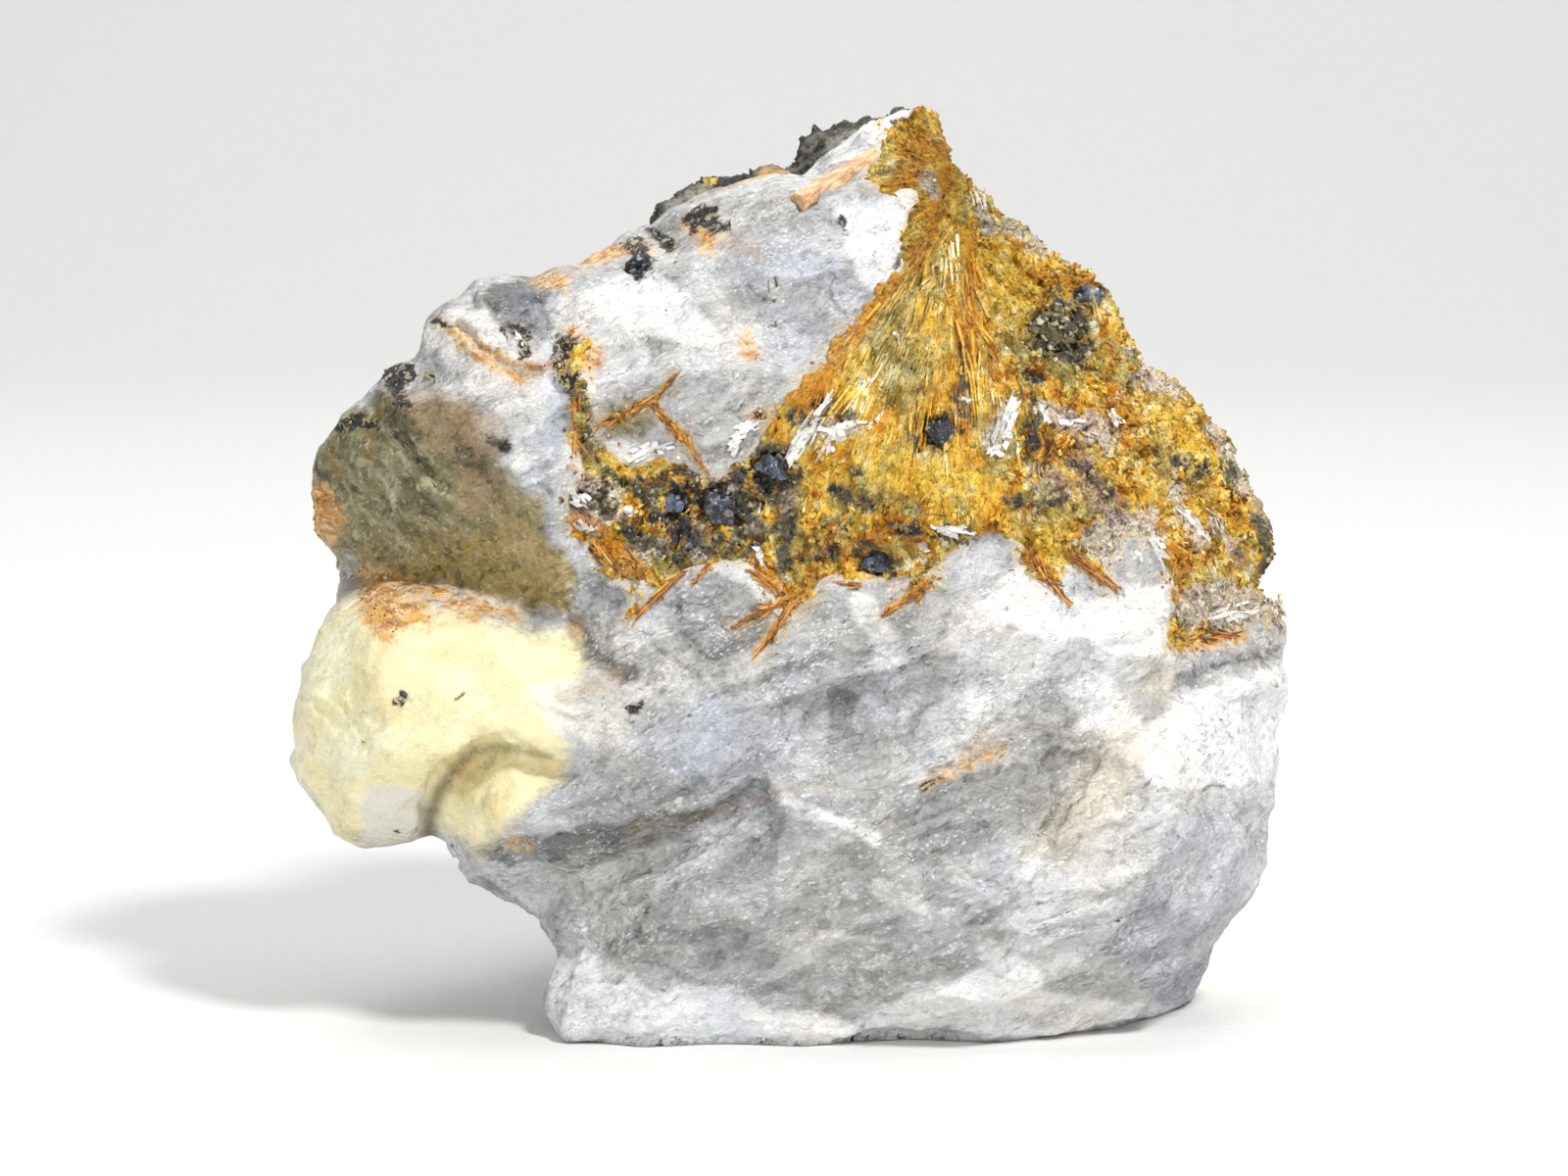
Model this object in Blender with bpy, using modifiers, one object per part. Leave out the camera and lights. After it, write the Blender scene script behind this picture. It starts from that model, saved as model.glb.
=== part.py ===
"""Ardennite specimen: a broken piece of quartz vein with a mass of bladed ardennite, on a flat base.

The specimen's shape is surveyed as it is seen from the front, on a grid of small squares: columns run to
the right, rows run down, and a depth in millimetres says how far behind the middle plane a point lies
(negative is towards the viewer). seen() turns such a reading into a point in space, along the viewer's
line of sight.

Frame: metres, +Z up, the viewer looks along +Y, and the origin is under the specimen's middle, on its base.
"""

import math
import random

import bmesh
import bpy
from mathutils import Matrix, Vector, noise
from mathutils.bvhtree import BVHTree
from mathutils.geometry import delaunay_2d_cdt

# ---- Driving dimensions, in metres unless the name says otherwise ----
WIDTH = 0.090  # left edge to right edge
SQUARES_ACROSS = 1023  # grid squares over that width
SQUARE = WIDTH / SQUARES_ACROSS
MM = 0.001
SIGHT_DISTANCE = 0.42  # viewer to the grid's plane
SIGHT_TILT = math.radians(8)  # how far the viewer looks down
SIGHT_COLUMN, SIGHT_ROW = 800, 600  # the grid square straight ahead of the viewer
SIGHT_POINT = Vector((-0.00074, -0.00029, 0.0376))  # where that line meets the middle plane
GAP = 0.0003  # between neighbouring pieces

VOXEL = 0.0007  # the even mesh that is roughened
ROCK_FACETS = 5140  # triangles kept for the whole rock before it is parted
SLIVER = 0.000004  # shorter edges are closed up
MITRE_LIMIT = 0.4  # keeps the corners of a moved outline from running out to long points

# How far each mineral's own relief raises or sinks the surveyed surface, and the size that it repeats at.
SCOOP_HEIGHT, SCOOP_SIZE = 0.0011, 0.0125
CHIP_HEIGHT, CHIP_SIZE = 0.0003, 0.0058
SCOOP_SINK = 0.00078
FIBRE_HEIGHT, FIBRES_PER_RADIAN, FIBRE_SQUARES = 0.00075, 11, 130
LUMP_HEIGHT, LUMP_SIZE = 0.0004, 0.006
LAYER_HEIGHT, LAYER_THICKNESS, LAYER_LENGTH = 0.0005, 0.0016, 0.012
LAYER_DIP = Vector((0.45, 0.25, 0.85))  # across the wall rock's layers

FORWARD = Vector((0, math.cos(SIGHT_TILT), -math.sin(SIGHT_TILT)))
UPWARD = Vector((0, math.sin(SIGHT_TILT), math.cos(SIGHT_TILT)))
EYE = SIGHT_POINT - FORWARD * SIGHT_DISTANCE

# ---- The survey: (column, row, depth in millimetres) ----
# Around the outline, clockwise from the left end of the base. The last stretch runs below the base, which
# is cut flat afterwards.
OUTLINE = [
    (572, 1052, -18), (559, 1036, -15), (566, 1010, -14), (575, 967, -12), (556, 932, -11),
    (530, 918, -10.5), (505, 905, -10), (484, 898, -9.5), (468, 884, -9), (474, 874, -9), (455, 853, -8),
    (420, 858, -8), (358, 862, -8), (345, 845, -7.5), (322, 812, -7), (301, 775, -6), (295, 735, -6),
    (306, 685, -5), (322, 648, -5), (346, 613, -4), (349, 600, -2), (362, 592, 1), (352, 575, 1),
    (332, 560, -1), (320, 540, -2), (312, 510, -2), (318, 470, -2), (345, 432, -2), (375, 400, -2.5),
    (392, 380, -3), (420, 367, -3), (437, 325, -2), (460, 305, 0), (500, 287, 1), (530, 281, 2),
    (548, 284, 2), (562, 272, 2), (590, 266, 3), (625, 250, 4), (655, 237, 5), (672, 214, 12),
    (697, 197, 15), (722, 184, 16), (765, 180, 15), (790, 174, 12), (808, 178, 14), (815, 158, 16),
    (830, 135, 18), (860, 123, 18), (900, 120, 13), (932, 111, 8), (952, 112, 6), (960, 136, 4),
    (973, 168, 2), (987, 186, 1), (1015, 220, 1), (1045, 232, 0), (1065, 257, -1), (1098, 277, -2),
    (1124, 288, -2), (1138, 325, -3), (1157, 378, -3), (1190, 384, -2), (1216, 404, -3), (1243, 440, -3),
    (1268, 480, -3), (1285, 520, -2), (1297, 570, -1), (1280, 582, -2), (1273, 597, -2), (1305, 615, -2),
    (1318, 660, -3), (1316, 725, -5), (1308, 785, -6), (1297, 845, -7), (1272, 905, -7), (1235, 965, -6),
    (1215, 1005, -3), (1208, 1024, 1), (1190, 1070, 2), (1130, 1115, 1), (1020, 1148, 0), (880, 1158, 0),
    (740, 1152, -2), (630, 1130, -6), (575, 1095, -13),
]

# Lines on the front where one face breaks into another. Each step is a pair: the deep line and the lip.
FRONT_BREAKS = {
    "cleft_floor": [
        (378, 590, -1), (408, 598, -4), (445, 604, -6), (485, 612, -8.5), (525, 624, -10.5),
        (565, 642, -13.5),
    ],
    "cleft_lip": [
        (372, 603, -4.5), (405, 608, -9), (442, 613, -12), (482, 621, -13.8), (522, 633, -15),
        (562, 652, -16),
    ],
    "groove_lip": [
        (640, 764, -20.2), (565, 756, -19.3), (502, 753, -18.6), (468, 767, -18.2), (438, 792, -17.4),
        (424, 822, -14),
    ],
    "groove_floor": [
        (638, 776, -19), (590, 772, -18), (550, 768, -16.3), (508, 768, -15), (476, 785, -13.6),
        (452, 815, -11.5), (443, 845, -8.8),
    ],
    "undercut": [
        (490, 867, -11), (540, 863, -16), (600, 868, -18), (645, 864, -18.6), (700, 850, -19),
        (742, 834, -19.8), (772, 812, -20.4),
    ],
    "undercut_back": [(586, 900, -13.6), (640, 888, -15), (688, 872, -17), (728, 850, -18.8)],
    "slab_rim": [
        (592, 916, -15), (614, 902, -16.8), (652, 903, -18.6), (692, 886, -20), (722, 866, -21),
        (752, 846, -21.8), (786, 819, -22.3),
    ],
    "slab_crest": [(792, 816, -22.5), (842, 836, -23.2), (892, 864, -23.6), (942, 916, -23.2)],
    "crack_floor": [
        (848, 792, -20.2), (900, 798, -21.2), (942, 799, -21.6), (982, 785, -21.8), (1020, 771, -21.6),
    ],
    "crack_lip": [
        (852, 804, -21.8), (904, 809, -22.8), (946, 808, -23), (986, 794, -23), (1024, 779, -22.6),
    ],
    "shoulder_floor": [
        (1296, 682, -7.4), (1236, 701, -11), (1188, 724, -14.6), (1135, 746, -18), (1112, 786, -19.4),
        (1087, 820, -20.4), (1074, 850, -21.4),
    ],
    "shoulder_lip": [
        (1298, 694, -8.8), (1241, 713, -12.8), (1195, 737, -16.4), (1146, 759, -19.8), (1127, 792, -21.2),
        (1101, 826, -22.2), (1088, 853, -22.6),
    ],
    "contact_floor": [
        (930, 203, -3), (915, 262, -6), (881, 300, -8), (848, 332, -9.8), (808, 368, -11.4),
        (788, 398, -13.2),
    ],
    "contact_lip": [
        (938, 206, -4.4), (925, 268, -7.6), (890, 309, -9.6), (860, 341, -11.2), (820, 376, -12.8),
        (801, 404, -14.6),
    ],
    "fan_crest": [(984, 205, -1.4), (977, 262, -8), (966, 350, -12.8), (962, 420, -15.6), (957, 478, -17)],
    "fan_trough": [(999, 212, 0), (999, 272, -6), (990, 350, -10.6), (984, 420, -13.4), (984, 472, -15)],
    "band_floor": [
        (596, 560, -13.2), (650, 580, -13.8), (700, 574, -14), (752, 574, -14.6), (800, 604, -15.2),
        (850, 590, -15.2), (910, 585, -15.6), (970, 556, -15.8), (1030, 548, -15.8),
    ],
    "band_lip": [
        (594, 574, -14.6), (648, 594, -15.6), (700, 588, -16), (752, 588, -16.8), (800, 618, -17.8),
        (854, 604, -17.4), (914, 599, -17.6), (972, 570, -17.2), (1032, 562, -17),
    ],
    "foot_crease": [
        (604, 1002, -17.6), (700, 1008, -19.4), (760, 1014, -19.8), (788, 1030, -18.6), (830, 1038, -18),
        (872, 1034, -18.2), (905, 1016, -19.6), (950, 1000, -20.6), (1040, 990, -20.8),
    ],
    "foot_edge": [
        (600, 1051, -18.4), (700, 1053, -19.2), (770, 1053, -19), (850, 1051, -18.6), (950, 1048, -18),
        (1060, 1047, -16.6), (1140, 1043, -12.5), (1185, 1033, -6.5),
    ],
    "top_ridge": [
        (690, 217, 3), (730, 211, 1), (800, 203, -1), (866, 199, -2), (918, 190, -2.6), (946, 150, 1),
    ],
}

# Single points on the front, by the face that they belong to.
FRONT_POINTS = {
    "yellow_lobe": [
        (330, 690, -11), (375, 655, -14.5), (440, 650, -16.2), (500, 668, -17.6), (400, 710, -17),
        (470, 716, -18.4), (550, 705, -18.8), (338, 760, -12.5), (395, 770, -17.4), (352, 828, -11),
        (378, 812, -14.4), (395, 848, -9.6),
    ],
    "lower_bulge": [
        (520, 790, -18.4), (500, 822, -17.8), (545, 832, -19), (488, 846, -14.6), (600, 805, -20),
        (680, 800, -21), (740, 780, -21.2),
    ],
    "undercut_slab": [
        (520, 895, -12.8), (566, 935, -12.8), (600, 950, -15.4), (618, 985, -17), (585, 1020, -17),
    ],
    "big_slab": [
        (652, 935, -20), (700, 930, -21), (760, 900, -22.2), (820, 900, -22.4), (700, 975, -20.2),
        (770, 970, -21), (840, 985, -20.4), (880, 930, -22.8), (930, 960, -22.6),
    ],
    "green_block": [
        (345, 470, -5.5), (400, 450, -9), (384, 408, -6), (450, 425, -11), (350, 520, -5), (400, 515, -8),
        (452, 505, -10.6), (505, 480, -12.4), (380, 560, -4), (430, 565, -7.4), (500, 565, -10.6),
        (560, 590, -13.6),
    ],
    "upper_left": [
        (440, 355, -6), (480, 330, -6.2), (520, 308, -4), (560, 300, -3), (500, 352, -9), (535, 374, -10.8),
        (480, 392, -10.4), (545, 410, -12.6), (565, 460, -13.8), (560, 520, -14.2),
    ],
    "bright_wedge": [
        (600, 290, -3.6), (650, 262, -3.4), (640, 335, -8.4), (705, 262, -4.4), (762, 243, -3.8),
        (700, 340, -10), (762, 322, -9), (830, 262, -5.4), (815, 322, -9.2), (880, 240, -5),
        (868, 285, -7.6), (690, 388, -13.2), (745, 396, -13.8), (640, 385, -12.4), (606, 345, -9.4),
    ],
    "quartz_centre": [
        (640, 640, -17), (600, 690, -18), (655, 700, -19.4), (700, 640, -16.8), (745, 632, -16.6),
        (722, 684, -19), (790, 672, -19.4), (700, 740, -20.4), (785, 735, -20.8), (880, 640, -19),
        (850, 735, -18), (882, 704, -18.6), (935, 692, -19.8), (950, 750, -20.6), (985, 640, -19.8),
        (1020, 600, -18.4), (1010, 700, -21), (1080, 640, -19), (1090, 700, -20), (1150, 615, -15.6),
        (1170, 665, -16), (1050, 820, -22.6), (1000, 850, -23.2), (1070, 905, -22.8), (1000, 925, -22.8),
    ],
    "right_shoulder": [
        (1255, 665, -10), (1250, 775, -14.6), (1200, 805, -19), (1185, 880, -21), (1245, 880, -14.6),
        (1125, 905, -22.4), (1150, 975, -20), (1205, 950, -16.4), (1100, 1000, -19.4), (1175, 1010, -13),
    ],
    "fan": [
        (1030, 245, -3.4), (1060, 330, -8), (1100, 316, -5.8), (1125, 345, -5), (1035, 420, -13.4),
        (1100, 420, -11), (1160, 420, -7.6), (1210, 440, -5.6), (920, 340, -11.8), (890, 400, -14),
        (945, 185, -3),
    ],
    "right_edge": [
        (1240, 485, -5), (1180, 500, -10), (1245, 545, -7), (1120, 500, -13.2), (1050, 505, -16),
        (1190, 590, -12), (1235, 606, -8), (1235, 645, -8.4), (1290, 642, -4.6),
    ],
    "band": [
        (1000, 520, -17), (920, 490, -16.2), (870, 440, -14.6), (800, 462, -14), (740, 462, -13.4),
        (680, 470, -12.2), (628, 450, -12), (592, 500, -13.4), (640, 535, -13.4), (800, 530, -14.6),
        (880, 540, -15.4), (1090, 560, -15.6), (1110, 590, -16.4),
    ],
    "top_behind": [(720, 200, 9), (780, 190, 7), (850, 165, 9), (890, 150, 6)],
}

# The back, seen through the specimen on the same grid.
BACK_POINTS = [
    (420, 480, 12), (400, 560, 11), (520, 380, 16), (470, 700, 15), (400, 760, 9), (560, 560, 19),
    (640, 420, 20), (700, 300, 19), (800, 240, 23), (890, 220, 21), (760, 380, 24), (870, 400, 22),
    (980, 320, 14), (1080, 400, 15), (700, 600, 23), (820, 560, 21), (920, 640, 24), (1000, 520, 18),
    (1150, 520, 14), (1180, 640, 15), (640, 760, 21), (760, 780, 24), (1060, 760, 20), (1200, 780, 12),
    (920, 860, 20), (600, 900, 17), (1120, 900, 15), (620, 1000, 15), (700, 985, 19), (830, 1000, 18),
    (980, 990, 19), (1110, 985, 13), (700, 1090, 14), (860, 1095, 14), (1010, 1090, 14), (640, 1060, 13),
    (1110, 1060, 9),
]

# The ardennite's contact with the quartz; where the mass breaks out at the specimen's right edge, its
# outline runs clear of the rock. The band runs from the mass to the left.
MASS_OUTLINE = [
    (896, 140), (893, 188), (938, 198), (922, 232), (921, 272), (902, 284), (886, 308), (866, 330),
    (846, 360), (826, 381), (802, 400), (790, 440), (776, 470), (770, 520), (772, 588), (800, 613),
    (828, 605), (850, 590), (889, 597), (894, 628), (902, 630), (916, 602), (942, 594), (985, 556),
    (1012, 546), (1038, 560), (1054, 600), (1086, 620), (1092, 614), (1086, 574), (1136, 603),
    (1142, 597), (1114, 566), (1160, 541), (1180, 560), (1195, 600), (1198, 656), (1240, 654),
    (1262, 640), (1330, 614), (1400, 560), (1400, 300), (1250, 150), (1040, 40), (915, 50),
]
BAND_OUTLINE = [
    (850, 440), (790, 434), (765, 434), (742, 450), (726, 474), (712, 452), (694, 436), (682, 424),
    (692, 388), (684, 382), (656, 410), (640, 438), (618, 428), (604, 400), (598, 366), (584, 370),
    (585, 420), (588, 455), (578, 495), (572, 520), (580, 545), (590, 562), (612, 586), (638, 596),
    (642, 628), (650, 628), (664, 600), (700, 580), (740, 570), (772, 586), (790, 600), (750, 634),
    (756, 642), (800, 616), (770, 662), (778, 670), (832, 608), (860, 560),
]
MASS_DEPTH, MASS_SHRINK, MASS_CENTRE = 10.0, 0.8, (1130, 400)
BAND_DEPTH, BAND_SHRINK, BAND_CENTRE = -2.0, 0.86, (720, 500)
WALL_ROCK_OUTLINE = [
    (610, 300), (600, 150), (700, 60), (960, 60), (985, 190), (950, 330), (865, 480), (745, 505),
    (650, 420),
]
WALL_ROCK_NEAR, WALL_ROCK_FAR = 10.7, 40.0
IN_FRONT = -34.0  # a depth that lies clear of the rock on the viewer's side

# Hematite grains: column, row, half width, half height and half thickness in millimetres, and how much of
# the thickness stands out of the rock.
GRAINS = [
    (735, 516, 2.3, 1.9, 1.5, 0.45), (788, 480, 1.9, 2.0, 1.4, 0.3), (690, 514, 1.4, 1.5, 1.1, 0.3),
    (955, 440, 1.8, 1.5, 1.2, 0.4), (893, 577, 1.9, 1.2, 1.1, 0.35), (1076, 338, 3.1, 2.4, 1.6, 0.35),
    (1114, 301, 2.2, 1.1, 1.1, 0.35), (650, 266, 1.2, 1.5, 1.1, 0.35),
]
GRAIN_SQUARENESS = 0.45  # from a ball at 0 to a cube at 1
GRAIN_UNEVENNESS = 0.16  # share of the size

# The pink prism's two ends.
PRISM_ENDS = [(814, 208), (893, 160)]
PRISM_RADII = (0.00105, 0.0007)
PRISM_SIDES = 7
PRISM_KNEES = (0.22, 0.45, 0.7)  # shares of its length where it bends
PRISM_BEND, PRISM_BEND_SIZE = 0.0003, 0.0022
PRISM_SINK = 0.0001  # how far its axis lies under the rock's surface

FAN_COLUMN, FAN_ROW = 985, 180  # the square that the ardennite's fibres spread from
BLADE_COUNT = 30
BLADE_COLUMNS, BLADE_ROWS = (800, 1290), (210, 600)  # where their middles may lie
BLADE_SWING = 0.12  # radians, how much they stray from the fibres' direction
BLADE_LENGTH = (0.0045, 0.009)
BLADE_WIDTH = (0.0007, 0.0013)
BLADE_THICKNESS = 0.0011
BLADE_TAPER = 0.55
BLADE_MARGIN = 1.3  # how far from its middle a blade needs ardennite, in half lengths
BLADE_LAST_DEPTH = 4  # none stands further back
BLADE_STEEPEST = 0.95  # how much of its direction may run away from the viewer
GRAIN_REACH = 24  # squares that the blades keep from a grain's middle
BACK_CENTRE = (806, 640)  # the outline is drawn in towards this square to give the back's rim
WALL_LEAN = 7  # squares that the side wall leans in over its first step
WALL_RISE = 3.2  # millimetres that this step goes back
RIM_INSET = 34  # squares from the outline to the back's rim
RIM_RISE = 11.0  # millimetres from the outline to the back's rim
RIM_RISE_SWING = 3.5
BACK_LIMIT = 24  # millimetres, the deepest that the rim may reach


def seen(column, row, depth):
    """The point at this depth (in millimetres) on the viewer's line of sight through a grid square."""
    across = (column - SIGHT_COLUMN) * SQUARE
    up = (SIGHT_ROW - row) * SQUARE
    ray = FORWARD * SIGHT_DISTANCE + Vector((across, 0, 0)) + UPWARD * up
    return EYE + ray * ((SIGHT_POINT.y + depth * MM - EYE.y) / ray.y)


def clear_scene():
    for obj in list(bpy.data.objects):
        bpy.data.objects.remove(obj)


def new_object(name, bm):
    """A mesh object made from bm, in the scene's own collection."""
    mesh = bpy.data.meshes.new(name)
    bm.to_mesh(mesh)
    bm.free()
    obj = bpy.data.objects.new(name, mesh)
    bpy.context.scene.collection.objects.link(obj)
    return obj


def bake_modifiers(obj):
    """Replaces the object's mesh by what its modifiers make of it."""
    bpy.context.view_layer.update()
    graph = bpy.context.evaluated_depsgraph_get()
    made = bpy.data.meshes.new_from_object(obj.evaluated_get(graph))
    old = obj.data
    obj.modifiers.clear()
    obj.data = made
    bpy.data.meshes.remove(old)


def combine(obj, other, operation, solver="EXACT"):
    """obj becomes its difference, union or intersection with other.

    MANIFOLD is for the blades, which cross each other, and for the zones and pockets, which EXACT loses.
    """
    modifier = obj.modifiers.new(operation.title(), "BOOLEAN")
    modifier.operation = operation
    modifier.solver = solver
    modifier.object = other
    bake_modifiers(obj)


def copy_of(obj, name):
    twin = bpy.data.objects.new(name, obj.data.copy())
    bpy.context.scene.collection.objects.link(twin)
    return twin


# ---- The whole rock ----
def back_rim():
    """The outline drawn in and set back in two steps, which makes the steep broken side walls."""
    rim = []
    count = len(OUTLINE)
    for i, (column, row, depth) in enumerate(OUTLINE):
        before, after = OUTLINE[i - 1], OUTLINE[(i + 1) % count]
        along = Vector((after[0] - before[0], after[1] - before[1])).normalized()
        rim.append((column - along.y * WALL_LEAN, row + along.x * WALL_LEAN, depth + WALL_RISE))
        if i % 2:
            continue
        across, down = column - BACK_CENTRE[0], row - BACK_CENTRE[1]
        turn = math.atan2(down, across)
        share = 1 - RIM_INSET * (1 + 0.45 * math.sin(3 * turn + 0.6)) / math.hypot(across, down)
        rise = min(RIM_RISE + RIM_RISE_SWING * math.sin(5 * turn + 2.0), 0.6 * (BACK_LIMIT - depth))
        rim.append((BACK_CENTRE[0] + across * share, BACK_CENTRE[1] + down * share, depth + rise))
    return rim


def facets(survey, edges, count):
    """Triangles between the survey's points, inside the outline of its first points and along its edges."""
    flat = [Vector((column, -row)) for column, row, *_ in survey]
    outline = [(i, (i + 1) % count) for i in range(count)]
    _, _, faces, origins, _, _ = delaunay_2d_cdt(flat, outline + edges, [], 1, 1e-5)
    if any(not origin for origin in origins):
        raise ValueError("two break lines of the survey cross")
    return [[origins[index][0] for index in face] for face in faces]


def add_face_map(bm, ring, lines, points, faces_viewer):
    """One side of the rock: triangles between the outline, the break lines and the points."""
    survey = list(OUTLINE)
    edges = []
    for line in lines:
        start = len(survey)
        survey += line
        edges += [(start + i, start + i + 1) for i in range(len(line) - 1)]
    survey += points
    corner = dict(enumerate(ring))
    for face in facets(survey, edges, len(OUTLINE)):
        for index in face:
            if index not in corner:
                corner[index] = bm.verts.new(seen(*survey[index]))
        made = bm.faces.new([corner[index] for index in face])
        made.normal_update()
        if (made.normal.dot(FORWARD) > 0) == faces_viewer:
            made.normal_flip()


def rock_blank():
    """The rock as plain facets, reaching below the base."""
    bm = bmesh.new()
    ring = [bm.verts.new(seen(*reading)) for reading in OUTLINE]
    add_face_map(bm, ring, list(FRONT_BREAKS.values()), sum(FRONT_POINTS.values(), []), True)
    add_face_map(bm, ring, [], back_rim() + BACK_POINTS, False)
    return new_object("rock", bm)


def remesh(obj):
    """Covers the plain facets with an even mesh, fine enough to keep their edges."""
    modifier = obj.modifiers.new("Remesh", "REMESH")
    modifier.mode = "VOXEL"
    modifier.voxel_size = VOXEL
    bake_modifiers(obj)


def reading(point):
    """The survey's (column, row, depth) for a point in space."""
    ray = point - EYE
    scale = SIGHT_DISTANCE / ray.dot(FORWARD) / SQUARE
    depth = (point.y - SIGHT_POINT.y) / MM
    return SIGHT_COLUMN + ray.x * scale, SIGHT_ROW - ray.dot(UPWARD) * scale, depth


def inside(outline, column, row):
    """Whether a square lies in an outline, by counting the sides that a line to the right of it crosses."""
    within = False
    for i, (column_b, row_b) in enumerate(outline):
        column_a, row_a = outline[i - 1]
        if (row_a > row) != (row_b > row):
            crossing = column_a + (row - row_a) * (column_b - column_a) / (row_b - row_a)
            within ^= column < crossing
    return within


def in_ardennite(column, row):
    return inside(MASS_OUTLINE, column, row) or inside(BAND_OUTLINE, column, row)


def scooped(point, size):
    """Relief of conchoidal scoops: 0 in the middle of each, up to about 1 on the ridges between them."""
    distances, _ = noise.voronoi(point / size)
    return min(distances[0] ** 2 * 2.2, 1.0)


def wander(point):
    """A smooth random direction, with parts between -1 and 1."""
    return Vector([noise.noise(point + Vector((shift, -shift, 2 * shift))) for shift in (3.7, 11.3, 23.9)])


def quartz_relief(point):
    scoops = SCOOP_HEIGHT * scooped(point, SCOOP_SIZE)
    return scoops + CHIP_HEIGHT * scooped(point, CHIP_SIZE) - SCOOP_SINK


def fibre_relief(point):
    """Ridges that spread from the top of the fan."""
    column, row, _ = reading(point)
    turn = math.atan2(row - FAN_ROW, column - FAN_COLUMN)
    reach = math.hypot(row - FAN_ROW, column - FAN_COLUMN)
    ridges = noise.noise(Vector((turn * FIBRES_PER_RADIAN, reach / FIBRE_SQUARES, 0)))
    return FIBRE_HEIGHT * ridges + LUMP_HEIGHT * noise.noise(point / LUMP_SIZE)


def schist_relief(point):
    """Thin layers that dip to the left."""
    layer = point.dot(LAYER_DIP) / LAYER_THICKNESS
    return LAYER_HEIGHT * noise.noise(Vector((layer, point.x / LAYER_LENGTH, point.y / LAYER_LENGTH)))


def roughen(rock):
    """Moves each point along its normal by the relief of the mineral there."""
    moves = []
    for vertex in rock.data.vertices:
        column, row, depth = reading(vertex.co)
        if depth < MASS_DEPTH and in_ardennite(column, row):
            move = fibre_relief(vertex.co)
        elif depth > WALL_ROCK_NEAR and inside(WALL_ROCK_OUTLINE, column, row):
            move = schist_relief(vertex.co)
        else:
            move = quartz_relief(vertex.co)
        moves.append(vertex.normal * move)
    for vertex, move in zip(rock.data.vertices, moves):
        vertex.co += move


def cut_facets(rock, count):
    """Reduces the rock to flat facets, closer together where its relief is rougher."""
    modifier = rock.modifiers.new("Facets", "DECIMATE")
    modifier.ratio = count / (2 * len(rock.data.polygons))
    modifier.use_collapse_triangulate = True
    bake_modifiers(rock)


def cut_base(rock):
    """Saws the rock off flat at z = 0."""
    bm = bmesh.new()
    side = 2 * WIDTH
    bmesh.ops.create_cube(bm, size=side, matrix=Matrix.Translation((0, 0, -side / 2)))
    saw = new_object("base_cutter", bm)
    combine(rock, saw, "DIFFERENCE")
    bpy.data.objects.remove(saw)


def surface_of(obj):
    bm = bmesh.new()
    bm.from_mesh(obj.data)
    tree = BVHTree.FromBMesh(bm)
    bm.free()
    return tree


def on_surface(tree, column, row):
    """Where the viewer sees the surface in a grid square, and its normal there."""
    ray = (seen(column, row, 0) - EYE).normalized()
    point, normal, _, _ = tree.ray_cast(EYE, ray)
    return point, normal


# ---- Parting the rock into its minerals ----
def grown_outline(outline, squares):
    """The outline moved outwards, with its corners mitred."""
    area = sum(a[0] * b[1] - b[0] * a[1] for a, b in zip(outline, outline[1:] + outline[:1]))
    side = math.copysign(1, area)
    grown = []
    for i, (column, row) in enumerate(outline):
        here = Vector((column, row))
        before = (here - Vector(outline[i - 1])).normalized()
        after = (Vector(outline[(i + 1) % len(outline)]) - here).normalized()
        out = Vector((before.y + after.y, -before.x - after.x)) * side
        out.normalize()
        stretch = 1 / max(out.dot(Vector((before.y, -before.x)) * side), MITRE_LIMIT)
        grown.append(tuple(here + out * squares * stretch))
    return grown


def zone(name, outline, near, far, shrink=1.0, centre=(0, 0)):
    """The space behind an outline, between two depths, narrowing towards the back."""
    bm = bmesh.new()
    front, back = [], []
    for column, row in outline:
        front.append(bm.verts.new(seen(column, row, near)))
        inner_column = centre[0] + (column - centre[0]) * shrink
        inner_row = centre[1] + (row - centre[1]) * shrink
        back.append(bm.verts.new(seen(inner_column, inner_row, far)))
    for face in facets(outline, [], len(outline)):
        bm.faces.new([front[index] for index in face])
        bm.faces.new([back[index] for index in face[::-1]])
    for i in range(len(outline)):
        bm.faces.new((front[i], front[i - 1], back[i - 1]))
        bm.faces.new((front[i], back[i - 1], back[i]))
    bmesh.ops.recalc_face_normals(bm, faces=bm.faces[:])
    return new_object(name, bm)


def ardennite_zone(name, gap):
    """The ardennite's space: the mass at the right and the band that runs from it to the left."""
    squares, back = gap / SQUARE, gap / MM
    mass_outline = grown_outline(MASS_OUTLINE, squares)
    band_outline = grown_outline(BAND_OUTLINE, squares)
    mass = zone(name, mass_outline, IN_FRONT, MASS_DEPTH + back, MASS_SHRINK, MASS_CENTRE)
    band = zone(name + "_band", band_outline, IN_FRONT, BAND_DEPTH + back, BAND_SHRINK, BAND_CENTRE)
    combine(mass, band, "UNION", "MANIFOLD")
    bpy.data.objects.remove(band)
    return mass


def wall_rock_zone(name, gap):
    outline = grown_outline(WALL_ROCK_OUTLINE, gap / SQUARE)
    return zone(name, outline, WALL_ROCK_NEAR - gap / MM, WALL_ROCK_FAR)


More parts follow.
